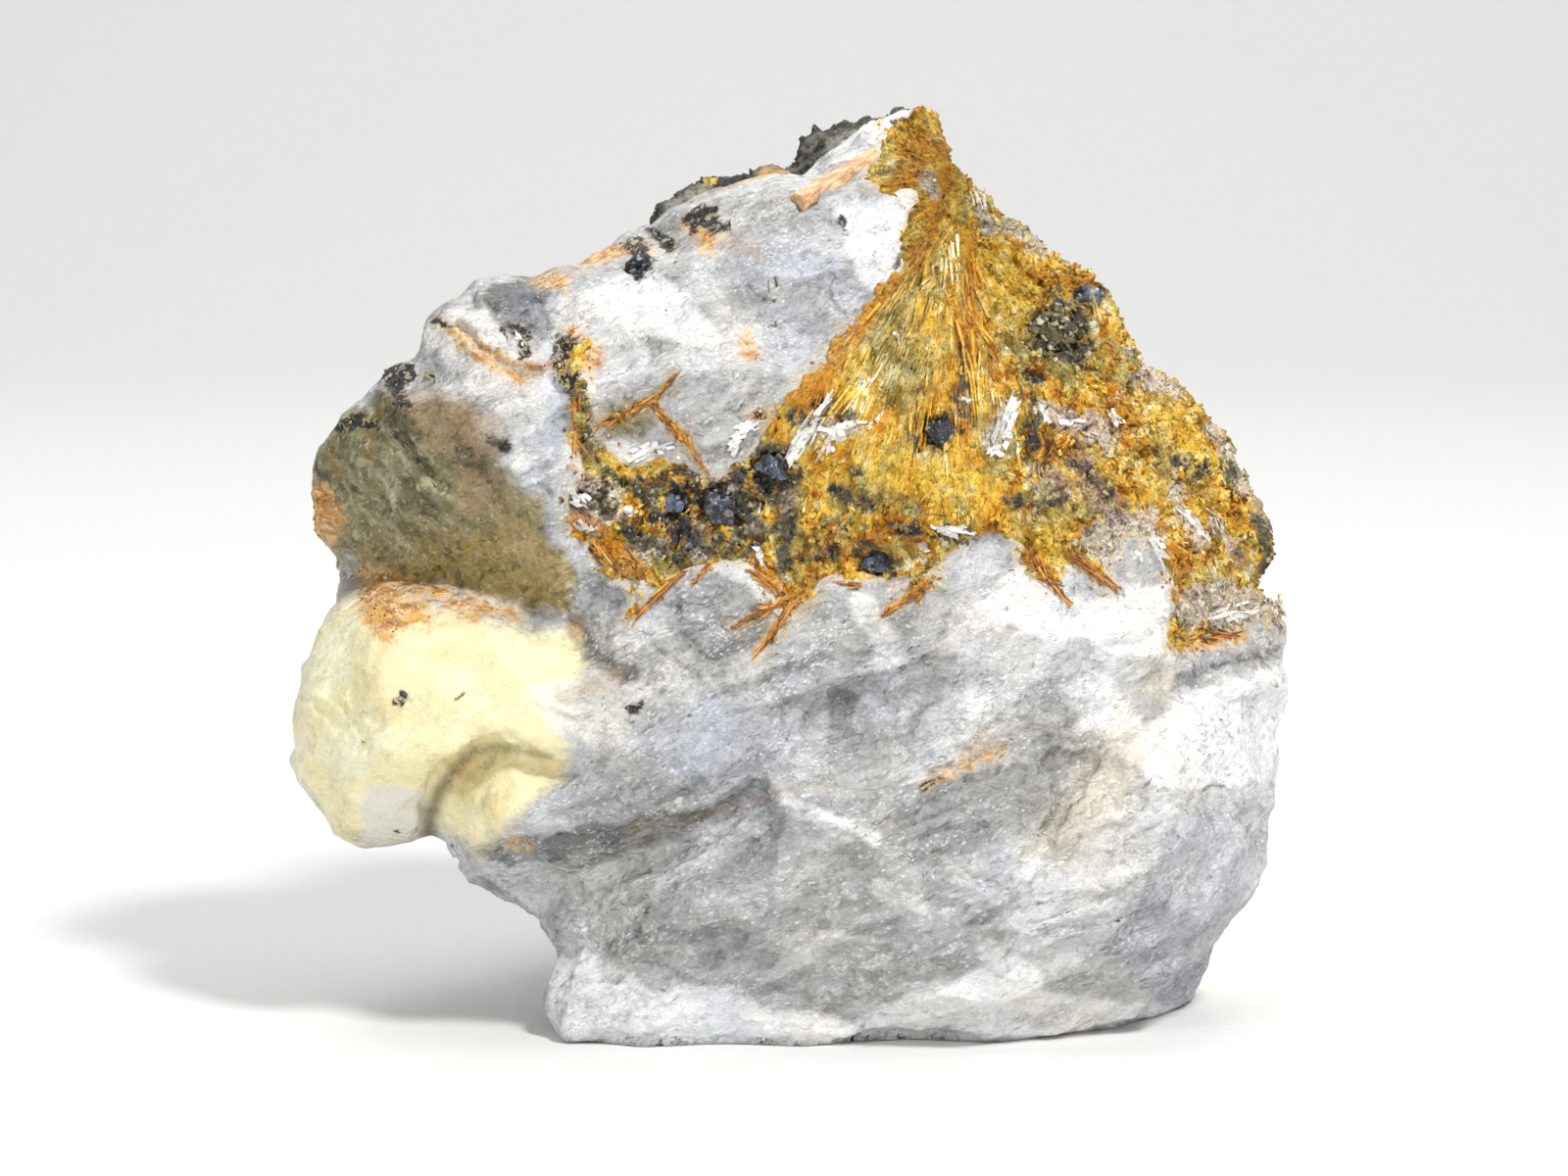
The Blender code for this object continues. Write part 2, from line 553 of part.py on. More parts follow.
def keep_largest(obj):
    """Drops the loose chips that a cut can leave beside the main body."""
    bm = bmesh.new()
    bm.from_mesh(obj.data)
    bmesh.ops.triangulate(bm, faces=bm.faces[:])
    bmesh.ops.dissolve_degenerate(bm, dist=SLIVER, edges=bm.edges[:])
    left, bodies = dict.fromkeys(bm.faces), []
    while left:
        body, to_visit = {}, [next(iter(left))]
        while to_visit:
            face = to_visit.pop()
            if face not in left:
                continue
            del left[face]
            body[face] = True
            edges = [edge for edge in face.edges if len(edge.link_faces) == 2]
            to_visit += [near for edge in edges for near in edge.link_faces]
        bodies.append(body)
    largest = max(bodies, key=len)
    loose = [face for face in bm.faces if face not in largest]
    bmesh.ops.delete(bm, geom=loose, context="FACES")
    bm.to_mesh(obj.data)
    bm.free()


# ---- Crystals ----
def grain(name, tree, shape):
    """A hematite grain: a rounded block with flat faces, sunk in the rock."""
    column, row, half_width, half_height, half_thickness, proud = shape
    point, normal = on_surface(tree, column, row)
    bm = bmesh.new()
    bmesh.ops.create_icosphere(bm, subdivisions=2, radius=1)
    seat = normal.to_track_quat("Z", "Y").to_matrix()
    for vertex in bm.verts:
        squared = vertex.co / max(abs(c) for c in vertex.co)
        block = vertex.co.lerp(squared, GRAIN_SQUARENESS)
        block *= 0.9 + GRAIN_UNEVENNESS * noise.noise(point / MM + vertex.co)
        local = Vector((block.x * half_width, block.y * half_height, block.z * half_thickness)) * MM
        vertex.co = point + seat @ (local - Vector((0, 0, half_thickness * MM * (1 - 2 * proud))))
    return new_object(name, bm)


def pink_prism(tree):
    """A bent prism that lies along the top edge, its ends broken off."""
    ends = [on_surface(tree, *end)[0] + Vector((0, PRISM_SINK, 0)) for end in PRISM_ENDS]
    axis = ends[1] - ends[0]
    bm = bmesh.new()
    lie = axis.to_track_quat("Z", "Y").to_matrix().to_4x4()
    place = Matrix.Translation((ends[0] + ends[1]) / 2) @ lie
    bmesh.ops.create_cone(
        bm, cap_ends=True, segments=PRISM_SIDES, radius1=PRISM_RADII[0], radius2=PRISM_RADII[1],
        depth=axis.length, matrix=place,
    )
    for share in PRISM_KNEES:
        whole = bm.verts[:] + bm.edges[:] + bm.faces[:]
        bmesh.ops.bisect_plane(bm, geom=whole, plane_co=ends[0].lerp(ends[1], share), plane_no=axis)
    bmesh.ops.triangulate(bm, faces=bm.faces[:])
    for vertex in bm.verts:
        vertex.co += wander(vertex.co / PRISM_BEND_SIZE) * PRISM_BEND
    return new_object("pink_prism", bm)


def grown_copy(obj, name, gap):
    """A copy whose faces stand off by the gap."""
    twin = copy_of(obj, name)
    bm = bmesh.new()
    bm.from_mesh(twin.data)
    bmesh.ops.recalc_face_normals(bm, faces=bm.faces[:])
    moves = [(vertex, vertex.normal * vertex.calc_shell_factor() * gap) for vertex in bm.verts]
    for vertex, move in moves:
        vertex.co += move
    bm.to_mesh(twin.data)
    bm.free()
    return twin


def blades(tree):
    """Ardennite blades that stand a little out of the mass and lie along the fan's fibres."""
    draw = random.Random(7)
    bm = bmesh.new()
    made = 0
    while made < BLADE_COUNT:
        column, row = draw.uniform(*BLADE_COLUMNS), draw.uniform(*BLADE_ROWS)
        turn = math.atan2(row - FAN_ROW, column - FAN_COLUMN) + draw.gauss(0, BLADE_SWING)
        length = draw.uniform(*BLADE_LENGTH)
        width = draw.uniform(*BLADE_WIDTH)
        reach = length / SQUARE / 2
        step_across = BLADE_MARGIN * reach * math.cos(turn)
        step_down = BLADE_MARGIN * reach * math.sin(turn)
        ends = [(column - step_across, row - step_down), (column + step_across, row + step_down)]
        to_grain = min(math.hypot(column - crystal[0], row - crystal[1]) for crystal in GRAINS)
        if to_grain < reach + GRAIN_REACH or not all(in_ardennite(*end) for end in ends):
            continue
        hits = [on_surface(tree, *end) for end in ends]
        if any(hit[0] is None or reading(hit[0])[2] > BLADE_LAST_DEPTH for hit in hits):
            continue
        middle, normal = on_surface(tree, column, row)
        span = hits[1][0] - hits[0][0]
        along = span.normalized()
        side = normal.cross(along).normalized()
        up = along.cross(side)
        if abs(along.dot(FORWARD)) > BLADE_STEEPEST or span.length > 2 * length:
            continue
        matrix = Matrix((along, side, up)).transposed().to_4x4()
        matrix.translation = middle
        box = bmesh.ops.create_cube(bm, size=1)["verts"]
        for vertex in box:
            corner = vertex.co.copy()
            taper = BLADE_TAPER if corner.z > 0 or corner.x > 0 else 1.0
            local = Vector((corner.x * length, corner.y * width * taper, corner.z * BLADE_THICKNESS))
            vertex.co = matrix @ local
        made += 1
    return new_object("blades", bm)


# ---- Materials ----
def mineral(name, colour, roughness, metallic=0.0):
    material = bpy.data.materials.new(name)
    material.use_nodes = True
    shader = material.node_tree.nodes["Principled BSDF"]
    shader.inputs["Base Color"].default_value = (*colour, 1)
    shader.inputs["Roughness"].default_value = roughness
    shader.inputs["Metallic"].default_value = metallic
    material.diffuse_color = (*colour, 1)
    return material


def finish(obj, name, material, collection):
    """Names a piece, gives it its mineral and puts it in the specimen's collection."""
    obj.name = name
    obj.data.name = name
    obj.data.materials.clear()
    obj.data.materials.append(material)
    for polygon in obj.data.polygons:
        polygon.use_smooth = False
    for other in list(obj.users_collection):
        other.objects.unlink(obj)
    collection.objects.link(obj)


def main():
    clear_scene()
    rock = rock_blank()
    remesh(rock)
    roughen(rock)
    cut_facets(rock, ROCK_FACETS)
    cut_base(rock)
    tree = surface_of(rock)

    grains = [grain(f"hematite_grain_{i}", tree, shape) for i, shape in enumerate(GRAINS, 1)]
    prism = pink_prism(tree)
    pockets = [grown_copy(crystal, crystal.name + "_pocket", GAP) for crystal in (*grains, prism)]

    ardennite = copy_of(rock, "ardennite_mass")
    blade_set = blades(tree)
    combine(ardennite, blade_set, "UNION", "MANIFOLD")
    ardennite_space = ardennite_zone("ardennite_space", 0)
    combine(ardennite, ardennite_space, "INTERSECT", "MANIFOLD")

    wall_rock = copy_of(rock, "wall_rock")
    wall_space = wall_rock_zone("wall_space", 0)
    combine(wall_rock, wall_space, "INTERSECT", "MANIFOLD")

    clearances = [ardennite_zone("ardennite_clearance", GAP), wall_rock_zone("wall_clearance", GAP)]
    for clearance in clearances:
        combine(rock, clearance, "DIFFERENCE", "MANIFOLD")
    for pocket in pockets:
        for piece in (rock, ardennite, wall_rock):
            combine(piece, pocket, "DIFFERENCE", "MANIFOLD")
    for piece in (rock, ardennite, wall_rock):
        keep_largest(piece)
    for helper in (ardennite_space, blade_set, wall_space, *clearances, *pockets):
        bpy.data.objects.remove(helper)

    specimen = bpy.data.collections.new("ardennite_specimen")
    bpy.context.scene.collection.children.link(specimen)
    finish(rock, "quartz_matrix", mineral("quartz", (0.80, 0.79, 0.80), 0.35), specimen)
    finish(ardennite, "ardennite_mass", mineral("ardennite", (0.62, 0.32, 0.06), 0.6), specimen)
    finish(wall_rock, "wall_rock", mineral("schist", (0.10, 0.09, 0.08), 0.8), specimen)
    finish(prism, "pink_prism", mineral("pink_mineral", (0.75, 0.50, 0.38), 0.5), specimen)
    hematite = mineral("hematite", (0.05, 0.06, 0.09), 0.3, 0.6)
    for number, crystal in enumerate(grains, 1):
        finish(crystal, f"hematite_grain_{number}", hematite, specimen)


main()
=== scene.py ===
"""Looks of the ardennite specimen: broken vein quartz, a mass of bladed ardennite, hematite and wall rock.

Lengths are metres. A place on the front is a (column, row) of the picture's 1600 x 1200 squares, seen
through the camera; places() reads them off points in space. Shapes drawn on that grid say where a mineral,
a stain, painted shade, a painted highlight or a ledge is, and relief is worked out on a fine skin taken from
the CAD solids.
"""

import itertools
import math
import random

import bmesh
import bpy
import numpy as np
from mathutils import Matrix, Quaternion, Vector
from mathutils.bvhtree import BVHTree


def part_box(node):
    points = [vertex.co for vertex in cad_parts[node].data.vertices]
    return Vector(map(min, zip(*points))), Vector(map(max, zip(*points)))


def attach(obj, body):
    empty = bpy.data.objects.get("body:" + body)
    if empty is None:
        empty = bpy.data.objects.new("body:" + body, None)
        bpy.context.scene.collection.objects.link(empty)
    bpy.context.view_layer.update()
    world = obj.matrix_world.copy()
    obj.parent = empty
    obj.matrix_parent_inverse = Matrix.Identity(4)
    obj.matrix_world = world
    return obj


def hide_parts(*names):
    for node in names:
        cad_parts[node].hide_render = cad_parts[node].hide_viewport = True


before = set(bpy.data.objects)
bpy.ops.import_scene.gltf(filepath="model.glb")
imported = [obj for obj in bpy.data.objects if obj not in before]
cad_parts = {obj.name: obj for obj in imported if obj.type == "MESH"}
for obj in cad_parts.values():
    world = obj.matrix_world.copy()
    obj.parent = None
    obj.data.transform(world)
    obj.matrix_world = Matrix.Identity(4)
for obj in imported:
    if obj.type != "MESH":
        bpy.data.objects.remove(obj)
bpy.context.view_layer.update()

# ---- The camera, which also sets the picture's grid ----
SQUARE = 0.090 / 1023  # one square in the specimen's middle plane
CAMERA_DISTANCE = 0.42
CAMERA_TILT = math.radians(8)
MIDDLE_COLUMN, MIDDLE_ROW = 800, 600
MIDDLE_POINT = np.array((-0.00074, -0.00029, 0.0376))
FORWARD = np.array((0, math.cos(CAMERA_TILT), -math.sin(CAMERA_TILT)))
UPWARD = np.array((0, math.sin(CAMERA_TILT), math.cos(CAMERA_TILT)))
EYE = MIDDLE_POINT - FORWARD * CAMERA_DISTANCE
SENSOR = 36

# ---- The skin that all relief starts from ----
SWELL = 0.00022  # closes the gaps between the CAD solids
SKIN_CELL = 0.00025
SKIN_SMOOTHING = 9
WELD = 2e-6  # joins the corners of the CAD's faces
NEAR_TABLE = 0.0003  # what is lower than this on the rough skin lies on the table
MM = 0.001
MOST_QUARTZ, MOST_ARDENNITE, MOST_WALL_ROCK = 188000, 190000, 110000  # triangles


def area(*points):
    return points, None


def line(half_width, *points):
    """A stroke; half_width is one number, or two for a stroke that tapers."""
    return points, half_width if isinstance(half_width, tuple) else (half_width, half_width)


# ---- Where the ardennite breaks out on the front ----
ARDENNITE = [
    area(
        (930, 104), (904, 132), (895, 150), (891, 170), (886, 184), (896, 197), (914, 204), (935, 198),
        (930, 214), (921, 234), (917, 250), (921, 263), (914, 276), (903, 284), (892, 292), (882, 312),
        (868, 327), (857, 341), (847, 354), (839, 366), (826, 377), (814, 386), (803, 398), (795, 413),
        (787, 432), (776, 452), (762, 462), (748, 470), (736, 482), (722, 484), (706, 478), (690, 468),
        (664, 474), (640, 472), (622, 462), (612, 452), (606, 430), (604, 405), (598, 380), (588, 368),
        (582, 380), (583, 404), (581, 430), (580, 452), (584, 472), (590, 486), (578, 496), (572, 512),
        (576, 530), (584, 546), (598, 556), (606, 575), (622, 590), (640, 600), (662, 600), (676, 592),
        (700, 580), (722, 572), (746, 571), (764, 580), (778, 598), (800, 612), (824, 606), (842, 594),
        (856, 590), (874, 596), (892, 596), (916, 598), (940, 592), (960, 574), (984, 556), (1012, 545),
        (1034, 552), (1046, 574), (1056, 596), (1078, 606), (1090, 592), (1096, 578), (1120, 586),
        (1132, 592), (1124, 572), (1140, 556), (1158, 542), (1176, 552), (1188, 574), (1196, 600),
        (1196, 630), (1190, 654), (1204, 664), (1236, 655), (1262, 648), (1276, 636), (1340, 616),
        (1420, 560), (1420, 250), (1200, 80), (1010, 60),
    ),
    line((8, 3), (664, 412), (676, 396), (690, 381)),
    line((7, 5), (612, 432), (636, 424), (656, 414), (668, 408)),
    line((6, 4), (668, 416), (684, 430), (694, 448), (706, 468)),
    line((6, 1.5), (694, 440), (706, 458), (718, 479)),
    line((7, 4), (640, 596), (652, 606), (646, 622), (634, 634)),
    line((6, 1.5), (808, 604), (780, 626), (750, 642)),
    line((8, 2), (826, 604), (798, 630), (782, 652), (774, 672)),
    line((7, 1.5), (950, 588), (928, 606), (898, 630)),
    line((12, 3), (1046, 566), (1064, 590), (1092, 617)),
    line((11, 3), (1092, 566), (1116, 580), (1138, 602)),
    line((9, 5), (588, 372), (592, 356), (602, 350)),
]
ARDENNITE_BACK = 9.4  # millimetres behind the middle plane, where the mass ends at the right side
WALL_ROCK = [
    area(
        (610, 300), (600, 150), (700, 60), (960, 60), (985, 190), (950, 330), (865, 480), (745, 505),
        (650, 420),
    )
]
WALL_ROCK_NEAR = 10.9

# ---- Relief of the quartz on the front: (kind, height in millimetres, width in squares, points) ----
# A groove or ridge runs along its line; a step drops from the line's right-hand side to its left.
QUARTZ_RELIEF = [
    ("groove", 1.5, 9, [(530, 768), (488, 766), (466, 784), (449, 806), (440, 830), (436, 858)]),
    ("step", 1.2, 8, [(604, 786), (574, 777), (544, 766), (510, 758), (482, 758), (454, 778), (430, 806)]),
    ("ridge", 0.7, 22, [(500, 850), (520, 820), (552, 806), (590, 812)]),
    ("step", 1.4, 10, [(800, 806), (768, 812), (720, 826), (660, 838), (600, 852), (540, 858), (490, 866)]),
    ("groove", 0.9, 5, [(452, 332), (480, 345), (500, 358), (520, 371), (560, 374)]),
    ("groove", 1.6, 9, [(578, 350), (572, 372), (580, 396)]),
    ("groove", 0.5, 4, [(412, 440), (424, 466), (445, 495)]),
    ("step", 0.7, 7, [(404, 398), (450, 398), (484, 416), (520, 450), (546, 486), (566, 540)]),
    ("step", 0.8, 4, [(548, 300), (560, 326), (566, 345)]),
    ("step", 0.8, 4, [(516, 344), (500, 322), (482, 300)]),
    ("step", 0.5, 3.5, [(612, 292), (634, 312), (652, 340), (660, 372)]),
    ("step", 0.5, 3.5, [(664, 290), (676, 322), (700, 352)]),
    ("step", 0.45, 3.5, [(760, 290), (790, 334), (812, 372)]),
    ("step", 0.4, 3.5, [(832, 284), (846, 310), (850, 345)]),
    ("step", 0.5, 3.5, [(694, 362), (722, 372), (744, 390)]),
    ("step", 0.5, 3.5, [(596, 410), (612, 392), (640, 380), (680, 376)]),
    ("step", 0.8, 7, [(724, 684), (700, 664), (686, 636), (688, 604), (702, 586)]),
    ("step", 0.7, 6, [(804, 662), (770, 680), (724, 686)]),
    ("step", 0.5, 6, [(716, 696), (690, 668), (648, 640)]),
    ("step", 0.7, 7, [(566, 636), (596, 668), (622, 690), (664, 704)]),
    ("ridge", 0.35, 7, [(690, 704), (770, 690), (860, 664), (940, 650)]),
    ("ridge", 0.3, 5, [(700, 732), (790, 712), (870, 690), (960, 664)]),
    ("step", 0.45, 8, [(836, 756), (838, 726), (852, 706), (884, 700), (924, 668), (1000, 640)]),
    ("step", 0.4, 5, [(812, 772), (862, 770), (896, 742), (960, 728)]),
    ("ridge", 0.3, 6, [(600, 838), (650, 816), (704, 800), (770, 776)]),
    ("ridge", 0.3, 16, [(800, 816), (846, 834), (892, 856), (922, 892), (946, 926)]),
    ("ridge", 0.35, 5, [(640, 905), (690, 886), (722, 868), (776, 820)]),
    ("step", 0.7, 7, [(640, 1000), (618, 976), (606, 944), (612, 906)]),
    ("step", 0.8, 4, [(950, 890), (982, 894), (1012, 908), (1030, 936), (1036, 966), (1024, 1000)]),
    ("step", 0.5, 6, [(1042, 712), (1020, 736), (996, 752)]),
    ("step", 0.35, 6, [(1150, 648), (1100, 668), (1040, 690)]),
    ("step", 0.5, 5, [(1136, 604), (1148, 626), (1170, 634), (1188, 622)]),
    ("groove", 0.8, 5, [(1196, 652), (1232, 650), (1266, 647)]),
    ("groove", 0.6, 4, [(936, 803), (960, 790), (985, 778), (1022, 767)]),
    ("ridge", 0.5, 6, [(1134, 762), (1112, 800), (1090, 842), (1066, 880)]),
    ("step", 0.4, 6, [(1190, 716), (1236, 694), (1290, 678)]),
    ("ridge", 0.3, 5, [(960, 905), (1040, 872), (1120, 830)]),
    ("ridge", 0.3, 5, [(1000, 960), (1080, 925), (1170, 884)]),
    ("step", 0.4, 6, [(780, 970), (830, 950), (900, 960), (940, 940)]),
    ("step", 0.4, 8, [(528, 636), (548, 660), (556, 700)]),
]

# ---- Stains, tints, painted shade and painted highlights of the quartz on the front ----
QUARTZ_PAINT = {
    "cream": [
        area(
            (352, 606), (400, 604), (470, 626), (530, 644), (572, 648), (596, 680), (590, 706), (566, 730),
            (584, 760), (556, 806), (520, 838), (488, 866), (458, 848), (420, 850), (350, 868), (284, 770),
            (284, 680),
        ),
    ],
    "olive": [
        area(
            (336, 430), (396, 404), (446, 404), (486, 424), (514, 462), (532, 500), (560, 530), (588, 590),
            (584, 626), (540, 626), (470, 604), (380, 584), (330, 566), (296, 520), (300, 470),
        ),
        area((604, 420), (640, 406), (664, 412), (676, 430), (650, 446), (612, 446)),
    ],
    "tan": [
        area((404, 402), (450, 402), (500, 424), (520, 452), (470, 452), (420, 436)),
        line(24, (484, 502), (504, 500)), line(13, (520, 546), (566, 586)),
        line(12, (440, 452), (500, 458)), line(8, (632, 690), (606, 702), (584, 706)),
        line((10, 4), (556, 286), (600, 272), (650, 254)), line((9, 5), (712, 236), (760, 250), (776, 262)),
        line(7, (984, 768), (1012, 756)), line((4, 7), (548, 772), (562, 790)),
        # painted shadow: the thin dark end of the undercut's shade
        line((3, 2), (640, 844), (700, 836), (756, 822), (800, 808), (850, 800)),
    ],
    "rust": [
        line((7, 4), (372, 584), (404, 594), (440, 606), (480, 614), (524, 626)),
        area((366, 598), (396, 590), (424, 608), (446, 636), (420, 640), (394, 654), (372, 636)),
        line((8, 3), (452, 606), (476, 624), (500, 628)),
        area((314, 494), (338, 500), (346, 520), (348, 544), (336, 560), (322, 546), (310, 520)),
        line(3, (452, 332), (480, 345), (500, 358), (520, 371), (560, 374)),
        line((4, 6), (474, 352), (502, 372), (530, 386)), line((4, 6), (761, 343), (767, 360)),
        line(9, (584, 346), (598, 358), (604, 370)), line(7, (556, 284), (574, 288)),
        line(2.6, (946, 802), (968, 788), (990, 777), (1022, 767)),
        line(5, (1196, 660), (1230, 656), (1264, 648)), line(2, (522, 860), (540, 866)),
        line(2, (584, 640), (590, 646)), line(4, (770, 424), (796, 416)),
        line((5, 9), (700, 230), (716, 236), (724, 246)), line(6, (600, 262), (640, 254), (660, 256)),
    ],
    "black": [
        area(
            (564, 346), (584, 340), (592, 352), (582, 366), (590, 380), (588, 404), (574, 402), (566, 378),
        ),
        area(
            (384, 380), (404, 370), (424, 374), (424, 388), (412, 396), (420, 414), (404, 420), (396, 400),
        ),
        line(7, (350, 436), (368, 428), (382, 432)), line((1.8, 0.8), (404, 442), (424, 466), (446, 496)),
        line(4, (444, 328), (450, 332)), line(7, (528, 336), (536, 346), (534, 360)),
        line(2, (512, 336), (518, 346)), line(3, (434, 384), (440, 386)), line(4, (472, 458), (480, 462)),
        line(5, (500, 450), (516, 456)),
        area(
            (634, 250), (650, 238), (664, 248), (656, 262), (666, 276), (652, 284), (638, 274), (644, 262),
        ),
        line((3, 6), (660, 234), (682, 250)),
        area((696, 222), (712, 210), (728, 214), (740, 228), (730, 242), (716, 232), (704, 238)),
        line(1.6, (784, 288), (785, 296)), line(1.4, (791, 284), (792, 292)),
        line(1.5, (782, 304), (790, 308)), line(2.4, (859, 226), (861, 238)),
        line((3.4, 2), (918, 262), (912, 278)), line(1.6, (691, 272), (692, 273)),
        line(1.4, (788, 332), (792, 334)), line(1.5, (744, 226), (746, 240)),
        line(2.6, (404, 716), (408, 718)), line(1.8, (412, 708), (415, 709)),
        line(2.4, (468, 712), (472, 708)), line(1.6, (371, 757), (373, 758)),
        line(1.8, (641, 722), (644, 726)), line(1.6, (648, 724), (650, 728)),
        line(1.4, (646, 718), (652, 720)), line(1, (403, 848), (405, 848)),
        line((4, 2), (942, 804), (954, 796)), line((3.5, 1.5), (1204, 651), (1222, 650), (1236, 648)),
        line(3, (774, 420), (780, 424)),
    ],
    "beige": [
        area((1146, 716), (1176, 756), (1136, 830), (1090, 884), (1046, 866), (1084, 800), (1116, 752)),
        area((1176, 676), (1200, 690), (1190, 716), (1160, 706)),
    ],
    "clear": [
        area((376, 800), (434, 806), (440, 850), (364, 860)),
        area((540, 700), (580, 690), (640, 712), (640, 744), (600, 764), (560, 746)),
    ],
    "shade": [
        line((0, 3.5), (562, 773), (530, 766), (504, 762), (486, 765)),
        line((3.5, 9), (486, 765), (464, 785), (448, 808), (439, 834), (436, 862)),
    ],
    "umber": [
        area((384, 400), (450, 396), (500, 420), (530, 460), (490, 480), (440, 456), (392, 444)),
        line((7, 4), (366, 582), (400, 588), (440, 598)),
    ],
    "honey": [
        area(
            (330, 548), (400, 566), (456, 548), (540, 520), (592, 590), (584, 634), (530, 632), (460, 606),
            (380, 590),
        ),
    ],
    # smoky quartz, and painted shade in the undercut, in hollows and below a ledge
    "smoke_and_shade": [
        area((504, 288), (552, 284), (566, 340), (548, 352), (516, 346), (492, 306)),
        area(
            (690, 598), (706, 582), (770, 600), (786, 640), (770, 666), (724, 676), (700, 660), (688, 634),
        ),
        area(
            (482, 866), (560, 850), (640, 838), (700, 830), (744, 822), (700, 850), (640, 874), (590, 888),
            (520, 884),
        ),
        area((838, 716), (850, 700), (878, 706), (876, 752), (846, 760)),
        line((4, 12), (580, 626), (604, 668), (640, 690)),
        line((4, 3), (1204, 690), (1256, 676), (1300, 664)),
    ],
    # greyer quartz, and painted shade on hollows, on the undercut and on faces turned from the light
    "grey_and_shade": [
        area(
            (580, 588), (640, 600), (668, 606), (650, 640), (690, 690), (640, 696), (604, 668), (580, 630),
        ),
        area(
            (770, 620), (840, 640), (900, 690), (940, 662), (980, 668), (950, 740), (900, 780), (850, 800),
            (790, 720),
        ),
        area((500, 290), (552, 286), (566, 340), (548, 352), (516, 346), (488, 306)),
        area(
            (640, 800), (780, 770), (940, 800), (900, 850), (800, 812), (700, 846), (600, 852), (560, 830),
        ),
        area(
            (1010, 700), (1100, 690), (1140, 740), (1110, 800), (1080, 850), (1000, 860), (940, 900),
            (900, 850), (940, 806), (1020, 770),
        ),
        area(
            (660, 920), (760, 860), (800, 830), (880, 860), (930, 920), (1030, 920), (1030, 990),
            (900, 1010), (850, 1034), (790, 1030), (700, 1000), (620, 970),
        ),
        area((1200, 676), (1290, 660), (1312, 650), (1306, 676), (1240, 700), (1196, 712)),
        area((1160, 710), (1200, 700), (1200, 730), (1160, 744)),
        area((800, 604), (900, 600), (940, 630), (900, 670), (820, 670)),
    ],
    # milky white quartz, and painted highlights on the lit foot, on bright facets and along the tops of
    # ridges
    "white_and_highlight": [
        area((1040, 570), (1100, 610), (1190, 600), (1196, 672), (1120, 660), (1060, 650), (1000, 620)),
        area((1200, 706), (1312, 676), (1322, 740), (1290, 800), (1180, 800), (1140, 770), (1180, 740)),
        area((1076, 700), (1130, 690), (1160, 740), (1130, 756), (1100, 730)),
        area(
            (556, 980), (600, 974), (660, 1006), (750, 1008), (790, 1034), (870, 1040), (940, 1010),
            (1000, 990), (1060, 1010), (1200, 1030), (1200, 1060), (556, 1060),
        ),
        area((600, 300), (660, 270), (700, 300), (740, 350), (700, 350), (640, 340)),
        area((850, 210), (930, 196), (916, 280), (890, 300), (860, 250)),
        line((8, 4), (800, 816), (846, 834), (892, 856)), line((8, 5), (900, 906), (940, 926)),
        line(16, (880, 620), (900, 650)), line(12, (1010, 970), (1050, 1000)),
    ],
    "lilac": [
        area((740, 240), (850, 260), (880, 300), (840, 350), (800, 370), (760, 310)),
        area((640, 740), (800, 690), (840, 720), (800, 790), (660, 800)),
        area((1200, 830), (1320, 790), (1270, 960), (1200, 1030), (1140, 990)),
        area((560, 400), (580, 400), (576, 470), (560, 540), (540, 500)),
        area((500, 290), (560, 290), (570, 340), (520, 346)),
    ],
}

